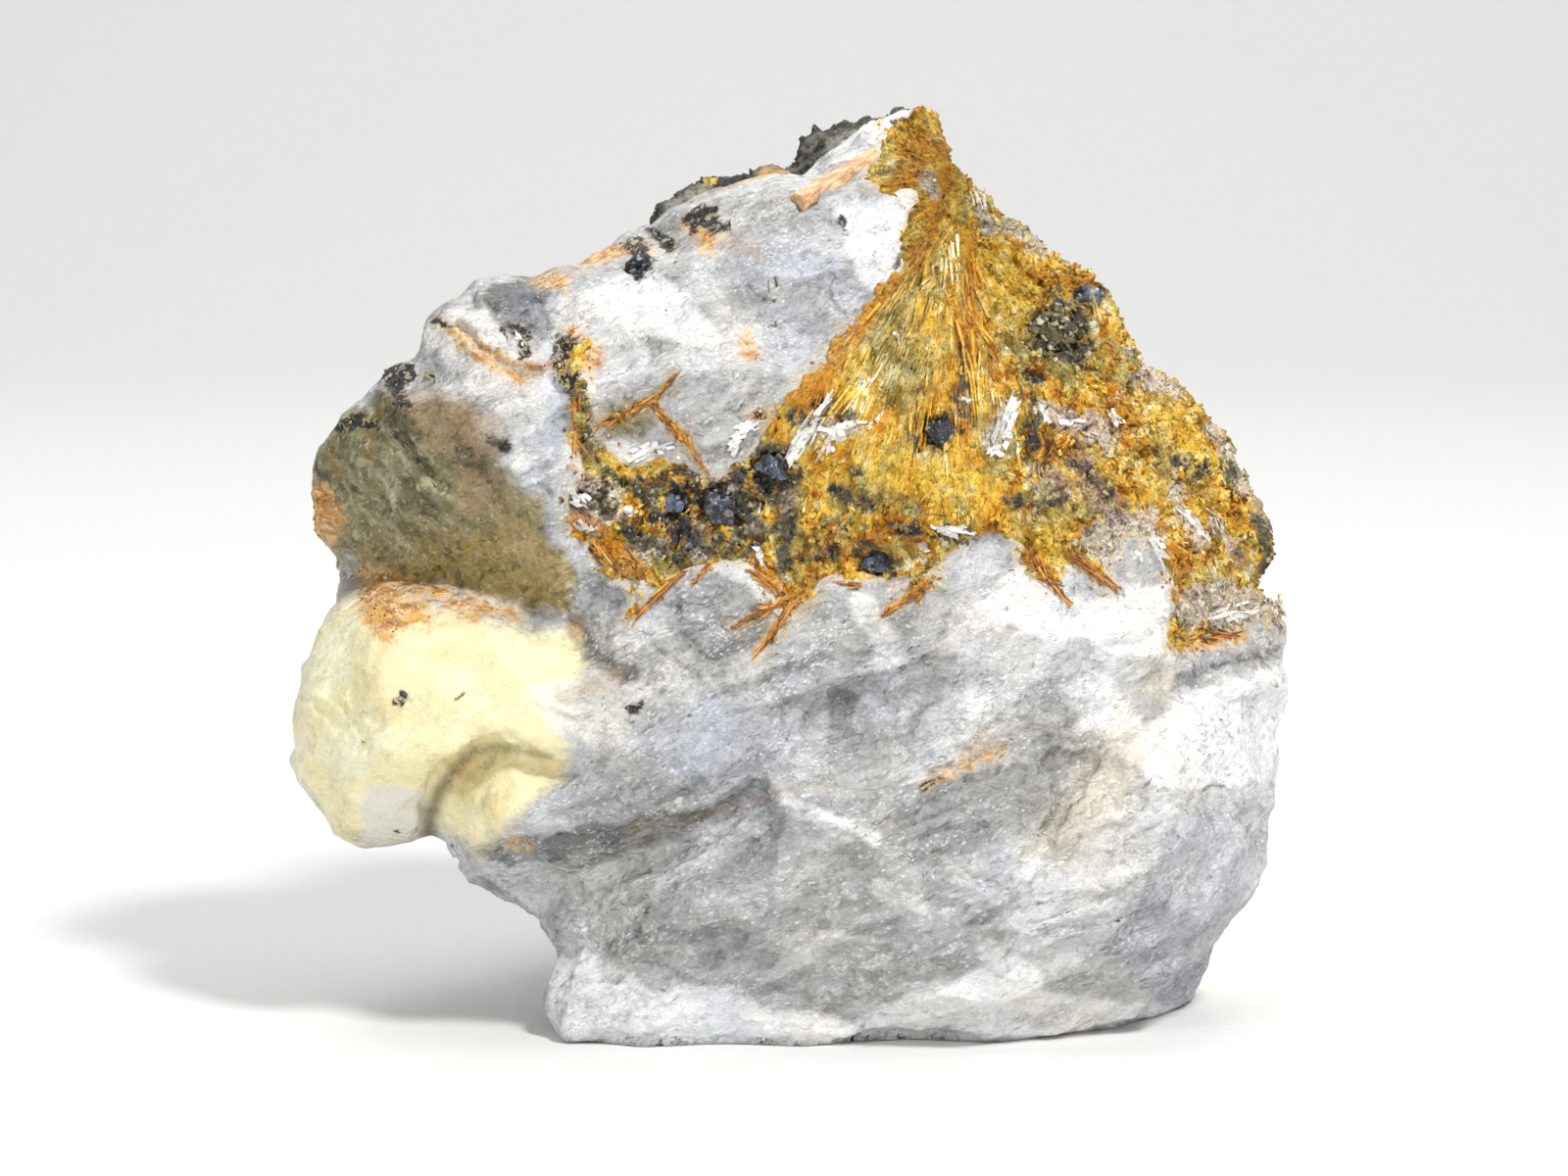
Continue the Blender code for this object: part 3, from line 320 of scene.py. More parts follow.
# ---- Stains and mineral patches in the ardennite on the front ----
ARDENNITE_PAINT = {
    "rust": [
        line((9, 15), (918, 280), (886, 318), (856, 354), (838, 386), (816, 406)),
        line((7, 11), (990, 250), (990, 350)), line((9, 7), (984, 350), (982, 400), (984, 440)),
        line(14, (1134, 406), (1150, 430)), line((5, 9), (958, 208), (936, 262)),
        line(8, (1076, 284), (1120, 290)), line((15, 12), (938, 150), (916, 192)),
        line(8, (962, 150), (966, 190)), line((8, 15), (866, 566), (908, 536)),
        line(8, (772, 572), (802, 604)), line((6, 9), (852, 540), (818, 602)),
        line(8, (590, 530), (626, 560), (660, 594)), line((10, 4), (1050, 566), (1074, 600), (1092, 617)),
        line((8, 4), (1096, 566), (1138, 602)), line(5, (800, 440), (806, 470)),
        line(3, (694, 440), (718, 479)), line(5, (1124, 330), (1140, 372)),
        line(6, (1010, 330), (1014, 380)), line(7, (1180, 640), (1200, 600), (1204, 560)),
        line(3.5, (774, 672), (800, 630), (826, 606)), line(3, (750, 642), (790, 620)),
        line(3, (898, 630), (940, 598)),
    ],
    "yellow": [
        line((9, 13), (592, 366), (592, 440), (600, 500), (640, 540)),
        line(14, (1160, 420), (1210, 440), (1250, 480)), line(20, (1060, 560), (1086, 540)),
        line(20, (1190, 510), (1256, 550)), line(6, (1196, 658), (1232, 654)),
        line(24, (1010, 270), (1040, 310)), line(16, (930, 300), (944, 330)),
        line(22, (900, 480), (1000, 500)),
    ],
    "olive": [
        line(9, (594, 390), (592, 440), (606, 470)), line((10, 26), (930, 290), (904, 350), (920, 400)),
        line(14, (760, 580), (720, 560), (680, 572)), line(10, (880, 500), (930, 520)),
        line(9, (1060, 530), (1110, 520)), line(10, (1130, 350), (1150, 380)),
        line((12, 18), (1046, 350), (1092, 372)), line(12, (616, 420), (630, 446)),
        line(14, (830, 560), (800, 540)), line(12, (1010, 440), (1016, 480)),
        line(10, (1150, 590), (1200, 584)),
    ],
    "dark": [
        line((5, 3), (596, 396), (600, 430), (594, 460)), line(4, (584, 392), (590, 410)),
        line(7, (620, 486), (660, 500)), line(7, (640, 540), (690, 572)),
        line((7, 4), (800, 580), (850, 560)), line(6, (850, 500), (884, 520)),
        line(5, (1090, 470), (1130, 500)),
        area((1042, 336), (1060, 314), (1090, 304), (1114, 318), (1122, 350), (1102, 374), (1062, 368)),
        line((6, 10), (1076, 300), (1120, 302)), line(7, (1050, 384), (1056, 392)),
        line((10, 7), (806, 428), (844, 414), (860, 424)), line((7, 5), (1056, 412), (1046, 470)),
        area((736, 486), (760, 450), (800, 456), (820, 480), (806, 520), (760, 520)),
        line((12, 9), (576, 500), (622, 516)),
        area(
            (656, 500), (690, 476), (750, 474), (776, 506), (764, 548), (720, 572), (680, 560), (658, 536),
        ),
        line((9, 13), (690, 560), (770, 552)), line(9, (806, 520), (800, 560)),
        line(13, (884, 566), (906, 580)), line(8, (920, 540), (1000, 552)),
        line(5, (1026, 512), (1046, 508)), line(6, (1056, 520), (1076, 508)),
        line((5, 7), (1200, 468), (1226, 479)), line(6, (1248, 476), (1256, 482)),
        line((6, 11), (1280, 524), (1296, 574)), line(4, (606, 420), (604, 466)),
        line(5, (590, 486), (622, 506)), line((3.5, 1.5), (1204, 651), (1236, 648)),
        line(9, (940, 446), (966, 430)), line(5, (862, 474), (872, 482)), line(5, (930, 118), (900, 134)),
        line(3.5, (984, 360), (982, 440)),
    ],
    "pale": [
        area((562, 488), (596, 478), (636, 496), (640, 526), (604, 540), (572, 530)),
        line(9, (742, 500), (770, 540)), line((10, 14), (1064, 416), (1130, 444)),
        area((1200, 606), (1250, 592), (1310, 610), (1316, 640), (1250, 644), (1206, 640)),
        area((1092, 556), (1120, 530), (1180, 516), (1192, 560), (1150, 556), (1120, 572)),
        line(9, (1028, 226), (1064, 248)), line(7, (946, 184), (954, 198)),
        line(7, (1000, 206), (1010, 232)), line(8, (1166, 384), (1200, 398)),
        line(9, (1240, 436), (1272, 500)), line(13, (616, 440), (640, 444)),
        line(9, (648, 556), (672, 560)), line(14, (900, 120), (924, 116)),
        line(9, (1010, 452), (1030, 412)), line((8, 12), (820, 440), (870, 436)),
        line(8, (706, 560), (716, 566)), line(9, (1196, 500), (1226, 556)),
        line(7, (1236, 530), (1262, 566)),
    ],
    "violet": [
        line((10, 15), (1096, 440), (1104, 490), (1136, 520)), line(12, (1070, 480), (1080, 500)),
        line(12, (790, 500), (806, 512)), line(9, (706, 540), (722, 556)),
        line(10, (1284, 510), (1292, 540)),
    ],
}


# ---- Noise, for arrays of points ----
DRAWS = np.random.default_rng(11).random((4, 8192))


def drawn(x, y, z, seed):
    """The column of DRAWS for a cell of space, always the same for the same cell."""
    mixed = (x * 73856093) ^ (y * 19349663) ^ (z * 83492791) ^ (seed * 971)
    mixed = (mixed ^ (mixed >> 13)) * 60493
    return (mixed ^ (mixed >> 15)) % DRAWS.shape[1]


def noise(points, seed=0):
    """Smooth noise from about -1 to 1, with features about one unit apart."""
    x, y, z = points.T
    cell_x, cell_y, cell_z = (np.floor(axis).astype(np.int64) for axis in (x, y, z))
    x, y, z = x - cell_x, y - cell_y, z - cell_z
    ease_x, ease_y, ease_z = (t * t * t * (t * (t * 6 - 15) + 10) for t in (x, y, z))
    total = 0
    for i, j, k in itertools.product((0, 1), repeat=3):
        row = drawn(cell_x + i, cell_y + j, cell_z + k, seed)
        slope_x, slope_y, slope_z = (2 * DRAWS[axis][row] - 1 for axis in range(3))
        share = (ease_x if i else 1 - ease_x) * (ease_y if j else 1 - ease_y) * (ease_z if k else 1 - ease_z)
        total = total + share * ((x - i) * slope_x + (y - j) * slope_y + (z - k) * slope_z)
    return 1.7 * total


def cells(points, seed=0, uneven=0.0):
    """For each point, the lowest of many scattered bowls, one to each unit of space: its height there (the
    distance from its middle squared, and up to uneven more), the way from its middle, and its own draws."""
    x, y, z = points.T
    cell_x, cell_y, cell_z = (np.floor(axis).astype(np.int64) for axis in (x, y, z))
    lowest, best = np.full(len(points), 9.0), np.zeros(len(points), np.int64)
    away = [np.zeros(len(points)) for _ in range(3)]
    for i, j, k in itertools.product((-1, 0, 1), repeat=3):
        row = drawn(cell_x + i, cell_y + j, cell_z + k, seed)
        offset = [
            axis - cell - step - DRAWS[n][row]
            for n, (axis, cell, step) in enumerate(((x, cell_x, i), (y, cell_y, j), (z, cell_z, k)))
        ]
        height = offset[0] ** 2 + offset[1] ** 2 + offset[2] ** 2 + uneven * DRAWS[3][row]
        lower = height < lowest
        lowest, best = np.where(lower, height, lowest), np.where(lower, row, best)
        away = [np.where(lower, new, old) for new, old in zip(offset, away)]
    return lowest, np.stack(away, axis=1), np.stack([DRAWS[n][best] for n in (1, 2, 3)], axis=1)


def chips(points, size, slope, seed=0):
    """Flat chips, each tilted its own way, with small steps between them."""
    bent = points / size + 0.25 * wander(points / size * 1.7, seed)
    _, away, own = cells(bent, seed)
    return slope * size * (away * (own * 2 - 1)).sum(axis=1)


def terraces(value):
    """How far treads with steep risers, one to each unit of the value, are above an even slope."""
    step = np.floor(value)
    return step + eased(value - step, 0.36, 0.64) - value


def wander(points, seed=0):
    return np.stack([noise(points + 7.3 * axis, seed + axis) for axis in range(3)], axis=1)


def eased(value, low, high):
    """0 up to low, 1 from high on, and a smooth rise between."""
    share = np.clip((value - low) / (high - low), 0, 1)
    return share * share * (3 - 2 * share)


# ---- The picture's grid ----
def places(points):
    """The (column, row) in which the camera sees each point, and its millimetres behind the middle."""
    ray = points - EYE
    scale = CAMERA_DISTANCE / (ray @ FORWARD) / SQUARE
    column = MIDDLE_COLUMN + ray[:, 0] * scale
    row = MIDDLE_ROW - (ray @ UPWARD) * scale
    return np.stack([column, row], axis=1), (points[:, 1] - MIDDLE_POINT[1]) / MM


def sight(column, row):
    """The direction of the camera's line of sight through a square."""
    across, up = (column - MIDDLE_COLUMN) * SQUARE, (MIDDLE_ROW - row) * SQUARE
    ray = FORWARD * CAMERA_DISTANCE + np.array((across, 0, 0)) + UPWARD * up
    return Vector(ray).normalized()


def to_stroke(spots, points):
    """Distance to a line of points, the share of its length there, and whether the spot is right of it."""
    nearest, share, right = np.full(len(spots), 1e9), np.zeros(len(spots)), np.zeros(len(spots), bool)
    steps = len(points) - 1
    for i in range(steps):
        start, end = np.array(points[i], float), np.array(points[i + 1], float)
        along = end - start
        t = np.clip((spots - start) @ along / (along @ along), 0, 1)
        gap = spots - start - t[:, None] * along
        distance = np.hypot(gap[:, 0], gap[:, 1])
        closer = distance < nearest
        nearest = np.where(closer, distance, nearest)
        share = np.where(closer, (i + t) / steps, share)
        right = np.where(closer, along[0] * gap[:, 1] - along[1] * gap[:, 0] > 0, right)
    return nearest, share, right


def within(spots, points):
    """Distance inside an outline, in squares, negative outside it."""
    ring = list(points) + [points[0]]
    nearest, _, _ = to_stroke(spots, ring)
    inside = np.zeros(len(spots), bool)
    for (column_a, row_a), (column_b, row_b) in zip(ring, ring[1:]):
        if row_a == row_b:
            continue
        crosses = (row_a > spots[:, 1]) != (row_b > spots[:, 1])
        limit = column_a + (spots[:, 1] - row_a) * (column_b - column_a) / (row_b - row_a)
        inside ^= crosses & (spots[:, 0] < limit)
    return np.where(inside, nearest, -nearest)


FAR_OUT = 60  # squares past which it doesn't matter how far outside a shape a spot is


def around(spots, points, margin):
    """Which spots are in the box round some points, or no farther from it than the margin."""
    low, high = np.min(points, axis=0) - margin, np.max(points, axis=0) + margin
    return ((spots > low) & (spots < high)).all(axis=1)


def reach(spots, shapes):
    """Distance in squares inside the nearest of the shapes, negative outside them all."""
    best = np.full(len(spots), -float(FAR_OUT))
    for points, half_width in shapes:
        near = around(spots, points, FAR_OUT)
        if half_width is None:
            value = within(spots[near], points)
        else:
            distance, share, _ = to_stroke(spots[near], points)
            value = half_width[0] + (half_width[1] - half_width[0]) * share - distance
        best[near] = np.maximum(best[near], value)
    return best


def drawn_relief(spots, strokes):
    """The height in metres that grooves, ridges and steps give each spot."""
    height = np.zeros(len(spots))
    for kind, rise, width, points in strokes:
        near = around(spots, points, 8 * width)
        distance, share, right = to_stroke(spots[near], points)
        ends = eased(share, 0, 0.12) * (1 - eased(share, 0.88, 1))
        if kind == "step":
            side = np.where(right, distance, -distance)
            shape = 0.5 * np.tanh(1.6 * side / width) * np.exp(-((distance / (5 * width)) ** 2))
            shape -= 0.25 * np.exp(-((distance / width) ** 2))
        else:
            shape = np.exp(-((distance / width) ** 2))
        height[near] += rise * MM * (0.25 + 0.75 * ends) * shape * (-1 if kind == "groove" else 1)
    return height


# ---- Meshes as arrays ----
class Surface:
    """Points and four-sided faces, with what is needed to move the points."""

    def __init__(self, points, faces):
        self.points, self.faces = np.asarray(points, float), np.asarray(faces, int)

    def normals(self):
        """Unit normals at the points."""
        corners = self.points[self.faces]
        summed = self.gathered(np.cross(corners[:, 2] - corners[:, 0], corners[:, 3] - corners[:, 1]))
        return summed / np.maximum(np.linalg.norm(summed, axis=1), 1e-20)[:, None]

    def gathered(self, values):
        """The sum of the faces' values at each point."""
        index = self.faces.ravel()
        spread = np.repeat(values, 4, axis=0)
        count = len(self.points)
        return np.stack([np.bincount(index, spread[:, k], count) for k in range(values.shape[1])], axis=1)

    def smoothed(self, values, rounds):
        """Values at the points, evened out with their neighbours'."""
        shared = np.bincount(self.faces.ravel(), minlength=len(self.points))[:, None]
        for _ in range(rounds):
            values = self.gathered(values[self.faces].mean(axis=1)) / np.maximum(shared, 1)
        return values


def in_scene(name, data):
    """An object in the scene that shows a mesh, a lamp or a camera."""
    obj = bpy.data.objects.new(name, data)
    bpy.context.scene.collection.objects.link(obj)
    return obj


def write_fields(mesh, fields):
    """Gives a mesh's points named numbers or vectors, which its material reads."""
    for name, values in fields.items():
        kind, key = ("FLOAT_VECTOR", "vector") if values.ndim == 2 else ("FLOAT", "value")
        attribute = mesh.attributes.new(name, kind, "POINT")
        attribute.data.foreach_set(key, values.astype(np.float32).ravel())


def surface_of(obj):
    mesh = obj.data
    points = np.empty(3 * len(mesh.vertices), np.float32)
    mesh.vertices.foreach_get("co", points)
    corners = np.empty(len(mesh.loops), np.int32)
    mesh.loops.foreach_get("vertex_index", corners)
    return Surface(points.reshape(-1, 3), corners.reshape(-1, 4))


def shown(name, surface, fields=None):
    """A mesh object from a surface and fields for its points."""
    mesh = bpy.data.meshes.new(name)
    mesh.vertices.add(len(surface.points))
    mesh.vertices.foreach_set("co", surface.points.astype(np.float32).ravel())
    mesh.loops.add(surface.faces.size)
    mesh.loops.foreach_set("vertex_index", surface.faces.astype(np.int32).ravel())
    mesh.polygons.add(len(surface.faces))
    mesh.polygons.foreach_set("loop_start", np.arange(0, surface.faces.size, 4, dtype=np.int32))
    mesh.update(calc_edges=True)
    mesh.validate()
    write_fields(mesh, fields or {})
    mesh.shade_smooth()
    return in_scene(name, mesh)


def bake_modifiers(obj):
    bpy.context.view_layer.update()
    graph = bpy.context.evaluated_depsgraph_get()
    made = bpy.data.meshes.new_from_object(obj.evaluated_get(graph))
    old = obj.data
    obj.modifiers.clear()
    obj.data = made
    bpy.data.meshes.remove(old)


SHARE_STEPS = 20  # levels to which the share of the joined faces is rounded


def reduce_to(obj, most, share):
    """Joins faces until the mesh has at most this many triangles, more of them where the share is larger."""
    triangles = sum(len(polygon.vertices) - 2 for polygon in obj.data.polygons)
    if triangles > most:
        group = obj.vertex_groups.new(name="coarse")
        levels = np.round(share * SHARE_STEPS).astype(int)
        for level in range(1, SHARE_STEPS + 1):
            group.add(np.flatnonzero(levels == level).tolist(), level / SHARE_STEPS, "REPLACE")
        modifier = obj.modifiers.new("Fewer", "DECIMATE")
        modifier.ratio = most / triangles
        modifier.vertex_group = "coarse"
        bake_modifiers(obj)
    obj.data.shade_smooth()


def largest_body(surface):
    """The surface without its smaller separate bodies."""
    label = np.arange(len(surface.points))
    while True:
        lowest = label[surface.faces].min(axis=1)
        fresh = label.copy()
        np.minimum.at(fresh, surface.faces.ravel(), np.repeat(lowest, 4))
        fresh = fresh[fresh]
        if (fresh == label).all():
            break
        label = fresh
    main = np.bincount(label).argmax()
    return part_of(surface, label[surface.faces[:, 0]] == main)


def part_of(surface, faces):
    """The chosen faces as a surface of their own."""
    kept = np.unique(surface.faces[faces])
    place = np.full(len(surface.points), -1)
    place[kept] = np.arange(len(kept))
    return Surface(surface.points[kept], place[surface.faces[faces]])


def solid(name):
    """A CAD solid with its faces joined at their corners."""
    bm = bmesh.new()
    bm.from_mesh(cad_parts[name].data)
    bmesh.ops.remove_doubles(bm, verts=bm.verts[:], dist=WELD)
    return bm


def mesh_from(bm):
    mesh = bpy.data.meshes.new("solid")
    bm.to_mesh(mesh)
    bm.free()
    return mesh


def evened(bm, cell):
    """The outside of solids as one even surface of four-sided faces."""
    obj = in_scene("evened", mesh_from(bm))
    modifier = obj.modifiers.new("Even", "REMESH")
    modifier.mode = "VOXEL"
    modifier.voxel_size = cell
    bake_modifiers(obj)
    surface = surface_of(obj)
    bpy.data.objects.remove(obj)
    return surface


def make_skin():
    """The outside of the three large CAD solids together, as one fine even mesh."""
    whole = bmesh.new()
    for name in ("quartz_matrix", "ardennite_mass", "wall_rock"):
        bm = solid(name)
        bm.normal_update()
        for vertex in bm.verts:
            vertex.co += vertex.normal * SWELL
        mesh = mesh_from(bm)
        whole.from_mesh(mesh)
        bpy.data.meshes.remove(mesh)
    skin = largest_body(evened(whole, SKIN_CELL))
    level = skin.points[:, 2] < NEAR_TABLE
    skin.points = skin.smoothed(skin.points, SKIN_SMOOTHING)
    skin.points[:, 2] = np.where(level, 0, np.maximum(skin.points[:, 2], 0))
    return skin


# ---- Where each mineral is ----
SQUARES_PER_MM = MM / SQUARE
FAN_TOP = np.array((985, 180))  # the square that the ardennite's fibres spread from
FAN_LENGTH, FAN_DEPTH = 230, 20  # the squares and the millimetres that are 1 in the fan
OPEN_FRONT = (-0.3, 0.12)  # how much a surface turns to the camera, from none of the front's paint to all
DEEP_PAINT = (4, 8)  # millimetres of depth at which the front's paint fades out


def ardennite_reach(points):
    """Squares inside the ardennite's edge."""
    spots, depth = places(points)
    wobble = 6 * noise(points / 0.006, 3) + 6 * noise(points / 0.002, 4) + 5 * noise(points / 0.0008, 5)
    broad = reach(spots, [shape for shape in ARDENNITE if shape[1] is None]) + wobble
    narrow = reach(spots, [shape for shape in ARDENNITE if shape[1] is not None]) + 0.3 * wobble + 1
    behind = (ARDENNITE_BACK - depth) * SQUARES_PER_MM + 2 * wobble
    behind += 34 * noise(points / 0.009, 8) + 14 * noise(points / 0.0035, 9)
    return np.minimum(np.maximum(broad, narrow), behind)


def wall_rock_reach(points):
    spots, depth = places(points)
    wobble = 7 * noise(points / 0.005, 6) + 3 * noise(points / 0.0015, 7)
    return np.minimum(reach(spots, WALL_ROCK), (depth - WALL_ROCK_NEAR) * SQUARES_PER_MM) + wobble


def on_front(surface, fade=DEEP_PAINT):
    """1 where the camera sees the rock's front, 0 on its sides, its back and past the depths of the fade."""
    _, depth = places(surface.points)
    turned = -(surface.smoothed(surface.normals(), 12) @ FORWARD)
    return eased(turned, *OPEN_FRONT) * (1 - eased(depth, *fade))


def painted(surface, paint, elsewhere, fade=DEEP_PAINT):
    """Each paint's field: squares inside its shapes on the front, and patches of noise elsewhere.

    elsewhere gives for some paints the patches' size in metres and how much of the surface they take.
    """
    spots, _ = places(surface.points)
    front = on_front(surface, fade)
    fields = {}
    for i, (name, shapes) in enumerate(paint.items()):
        size, share = elsewhere.get(name, (0.01, -1.0))
        patches = 30 * (noise(surface.points / size, 20 + i) - 1 + 2 * share)
        fields[name] = front * reach(spots, shapes) + (1 - front) * np.maximum(patches, -FAR_OUT)
    return fields


# ---- Quartz ----
# The quartz's streaks run up to the right; these columns are along them, across them, and into the rock.
STREAK_TILT = math.radians(24)
STREAK_AXES = np.array((
    (math.cos(STREAK_TILT), -math.sin(STREAK_TILT), 0),
    (0, 0, 1),
    (math.sin(STREAK_TILT), math.cos(STREAK_TILT), 0),
))
CRUST_DEPTH = 0.0014  # how far the quartz lies under the crusts of the other minerals
RESTING, LEAST_RISE = 0.0001, 0.00005  # up to what height the skin rests on the table, and the rest's least
QUARTZ_ELSEWHERE = {
    "cream": (0.024, 0.42), "olive": (0.02, 0.28), "tan": (0.011, 0.2), "rust": (0.009, 0.14),
    "black": (0.0032, 0.06), "grey_and_shade": (0.012, 0.5), "white_and_highlight": (0.014, 0.4), "lilac": (0.02, 0.4),
}
# Scoops: their size, their depth and their share of the milkiness.
SCOOPS = ((0.011, 0.0015, 0.45), (0.0049, 0.0012, 0.45), (0.0022, 0.00034, 0.3), (0.0010, 0.00009, 0.15))


def quartz_relief(surface):
    """Conchoidal scoops that meet in edges, some treads and risers, fine grain and the drawn ledges.

    Also gives how milky each point's quartz is, about 0, which changes from scoop to scoop."""
    points = surface.points
    spots, _ = places(points)
    spots = spots + 7 * wander(points / 0.0024, 64)[:, :2] + 3 * wander(points / 0.0008, 67)[:, :2]
    front = on_front(surface)
    calm = 1 - 0.5 * eased(reach(spots, QUARTZ_PAINT["cream"]), -20, 20) * front
    along = points @ STREAK_AXES / np.array((1.7, 0.85, 1.1))
    height, milk_and_shading = 0, 0
    for i, (size, depth, milky) in enumerate(SCOOPS):
        bent = along / size + 0.22 * wander(along / size * 1.6, 60 + i)
        bowl, _, own = cells(bent, 31 + i, 0.5)
        height = height + depth * (bowl - 0.56) * (calm if i else 1)
        milk_and_shading = milk_and_shading + milky * (2 * own[:, 0] - 1)
    rough = eased(noise(points / 0.008, 37), -0.15, 0.45)
    steps = terraces(2.6 * noise(along / 0.0062, 38) + 0.3 * noise(along / 0.0014, 39))
    height += calm * rough * (0.0005 * steps + 0.35 * chips(points, 0.0017, 0.16, 34))
    height += 0.00003 * noise(points / 0.0006, 36)
    return height + drawn_relief(spots, QUARTZ_RELIEF) * front, milk_and_shading


def quartz_rock(skin):
    """The rock, its surface before faces are joined, and its fields, far out where a crust covers it."""
    normals = skin.normals()
    ore = ardennite_reach(skin.points)
    under = np.maximum(ore, wall_rock_reach(skin.points))
    sink = CRUST_DEPTH * eased(under, 4, 16)
    relief, milk_and_shading = quartz_relief(skin)
    move = relief * (1 - 0.85 * eased(under, -16, 0)) * (1 - eased(under, 4, 10)) - sink
    resting = skin.points[:, 2] <= RESTING
    points = skin.points + normals * np.where(resting, 0, move)[:, None]
    points[:, 2] = np.where(resting, 0, np.maximum(points[:, 2], LEAST_RISE))
    surface = Surface(points, skin.faces)
    fields = painted(surface, QUARTZ_PAINT, QUARTZ_ELSEWHERE) | {"milk_and_shading": milk_and_shading, "ore": ore}
    rock = shown("quartz_rock", surface, fields)
    open_share = eased(under, 2, -6)
    reduce_to(rock, MOST_QUARTZ, 1 - 0.9 * open_share * (0.3 + 0.7 * on_front(surface)))
    return rock, surface, {name: np.where(open_share > 0.5, fields[name], -FAR_OUT) for name in fields}


# ---- Crusts ----
def shell(outer, thickness, base, base_normals):
    """Closes a sheet with a copy of itself that lies deeper, and a rim between the two."""
    count = len(outer.points)
    inner = base - base_normals * thickness
    edges = np.concatenate([outer.faces[:, [k, (k + 1) % 4]] for k in range(4)])
    key = edges.min(axis=1) * count + edges.max(axis=1)
    _, first, times = np.unique(key, return_index=True, return_counts=True)
    open_edges = edges[first[times == 1]]
    rim = np.stack([
        open_edges[:, 1], open_edges[:, 0], open_edges[:, 0] + count, open_edges[:, 1] + count,
    ], axis=1)
    faces = np.concatenate([outer.faces, outer.faces[:, ::-1] + count, rim])
    return Surface(np.concatenate([outer.points, inner]), faces)


def fan(points):
    """Where points lie among the ardennite's fibres: (angle, distance from the fan's top, depth)."""
    spots, depth = places(points)
    away = spots - FAN_TOP
    turn = np.arctan2(away[:, 0], away[:, 1])
    return np.stack([turn, np.hypot(away[:, 0], away[:, 1]) / FAN_LENGTH, depth / FAN_DEPTH], axis=1)


FIBROUS_TURN, FIBROUS_DISTANCE = (0.32, 0.02), (1.75, 1.15)  # in the fan, from none to all


def fibrous_share(along):
    """1 on the left part, where the ardennite is long parallel fibres, and 0 where it is a mass of grains."""
    return eased(along[:, 0], *FIBROUS_TURN) * eased(along[:, 1], *FIBROUS_DISTANCE)


def ardennite_relief(points):
    """Lumpy grains, splintery ridges along the fibres on the left part, and pits."""
    along = fan(points)
    fibrous = fibrous_share(along)
    broad = noise(along * (11, 2.2, 8), 41)
    fine = noise(along * (34, 2.6, 20), 42)
    hair = noise(along * (90, 6, 50), 43)
    _, away, own = cells(points / 0.0013 + 0.3 * wander(points / 0.0016, 46), 44, 0.3)
    grains = 0.75 * (away * (own * 2 - 1)).sum(axis=1) + 0.3 * (own[:, 0] - 0.5)
    grains += chips(points, 0.0006, 0.7, 47) / MM
    pits = eased(noise(points / 0.0019, 45), 0.35, 0.8)
    rough = (1 - 0.8 * fibrous) * (grains - 0.6 * pits)
    return (0.2 * broad + (0.15 + fibrous) * (0.30 * fine + 0.16 * hair) + rough) * MM


ARDENNITE_ELSEWHERE = {
    "rust": (0.007, 0.36), "yellow": (0.009, 0.4), "olive": (0.008, 0.25), "dark": (0.004, 0.14),
    "pale": (0.006, 0.16), "violet": (0.006, 0.1),
}
CRUST_THICKNESS, CRUST_RISE, EDGE_SINK = 0.002, 0.0001, 0.0006
CRUST_MARGIN = -7  # squares inside a mineral's edge from which its crust has faces
OVER_TABLE = 0.0001  # the least height of a crust and of the grains


def crust(name, skin, reach_of, relief_of, most_faces, paint, elsewhere, fade=DEEP_PAINT):
    """A mineral's sheet where it breaks out of the rock; its edge dives under the quartz around it."""
    base = part_of(skin, (reach_of(skin.points)[skin.faces] > CRUST_MARGIN).all(axis=1))
    normals, inside = base.normals(), reach_of(base.points)
    edge = eased(inside, -4, 6)
    move = (CRUST_RISE + EDGE_SINK) * edge - EDGE_SINK + relief_of(base.points) * edge
    points = base.points + normals * move[:, None]
    points[:, 2] = np.maximum(points[:, 2], OVER_TABLE)
    outer = Surface(points, base.faces)
    fields = painted(outer, paint, elsewhere, fade) | {"fan": fan(points), "edge": inside}
    closed = shell(outer, CRUST_THICKNESS, base.points, normals)
    obj = shown(name, closed, {field: np.concatenate([values, values]) for field, values in fields.items()})
    share = 0.7 - 0.65 * on_front(outer) * edge
    reduce_to(obj, most_faces, np.concatenate([share, np.ones(len(points))]))
    return obj, outer, fields


def schist_relief(points):
    """Layers, flat chips and a fine roughness."""
    layer = points @ np.array((0.45, 0.25, 0.85)) / 0.0011
    stretched = np.stack([layer, points[:, 0] / 0.006, points[:, 1] / 0.006], axis=1)
    rough = 0.00016 * noise(points / 0.0011, 54) + 0.00008 * noise(points / 0.0006, 53)
    steps = 0.0003 * noise(stretched, 51) + chips(points, 0.0024, 0.22, 52) + chips(points, 0.0011, 0.3, 55)
    return steps + rough


WALL_ROCK_PAINT = {
    "tan": [area((768, 184), (780, 170), (804, 174), (806, 200), (780, 206), (766, 200))],
    "yellow": [line(4, (720, 184), (728, 183))],
    "pale": [line((10, 6), (690, 214), (724, 190)), line(8, (900, 128), (850, 150))],
    "dark": [area((724, 186), (766, 180), (766, 206), (726, 212)), line(14, (700, 214), (740, 204))],
}
WALL_ROCK_ELSEWHERE = {
    "tan": (0.008, 0.22), "yellow": (0.004, 0.1), "pale": (0.007, 0.25), "dark": (0.006, 0.45),
}
WALL_ROCK_FADE = (60, 70)  # deeper than the rock, so that this paint doesn't fade out


# ---- Crystals and grains ----
def seated(tree, column, row):
    """Where the camera sees the rock in a square, and its normal there."""
    point, normal, _, _ = tree.ray_cast(Vector(EYE), sight(column, row))
    return point, normal


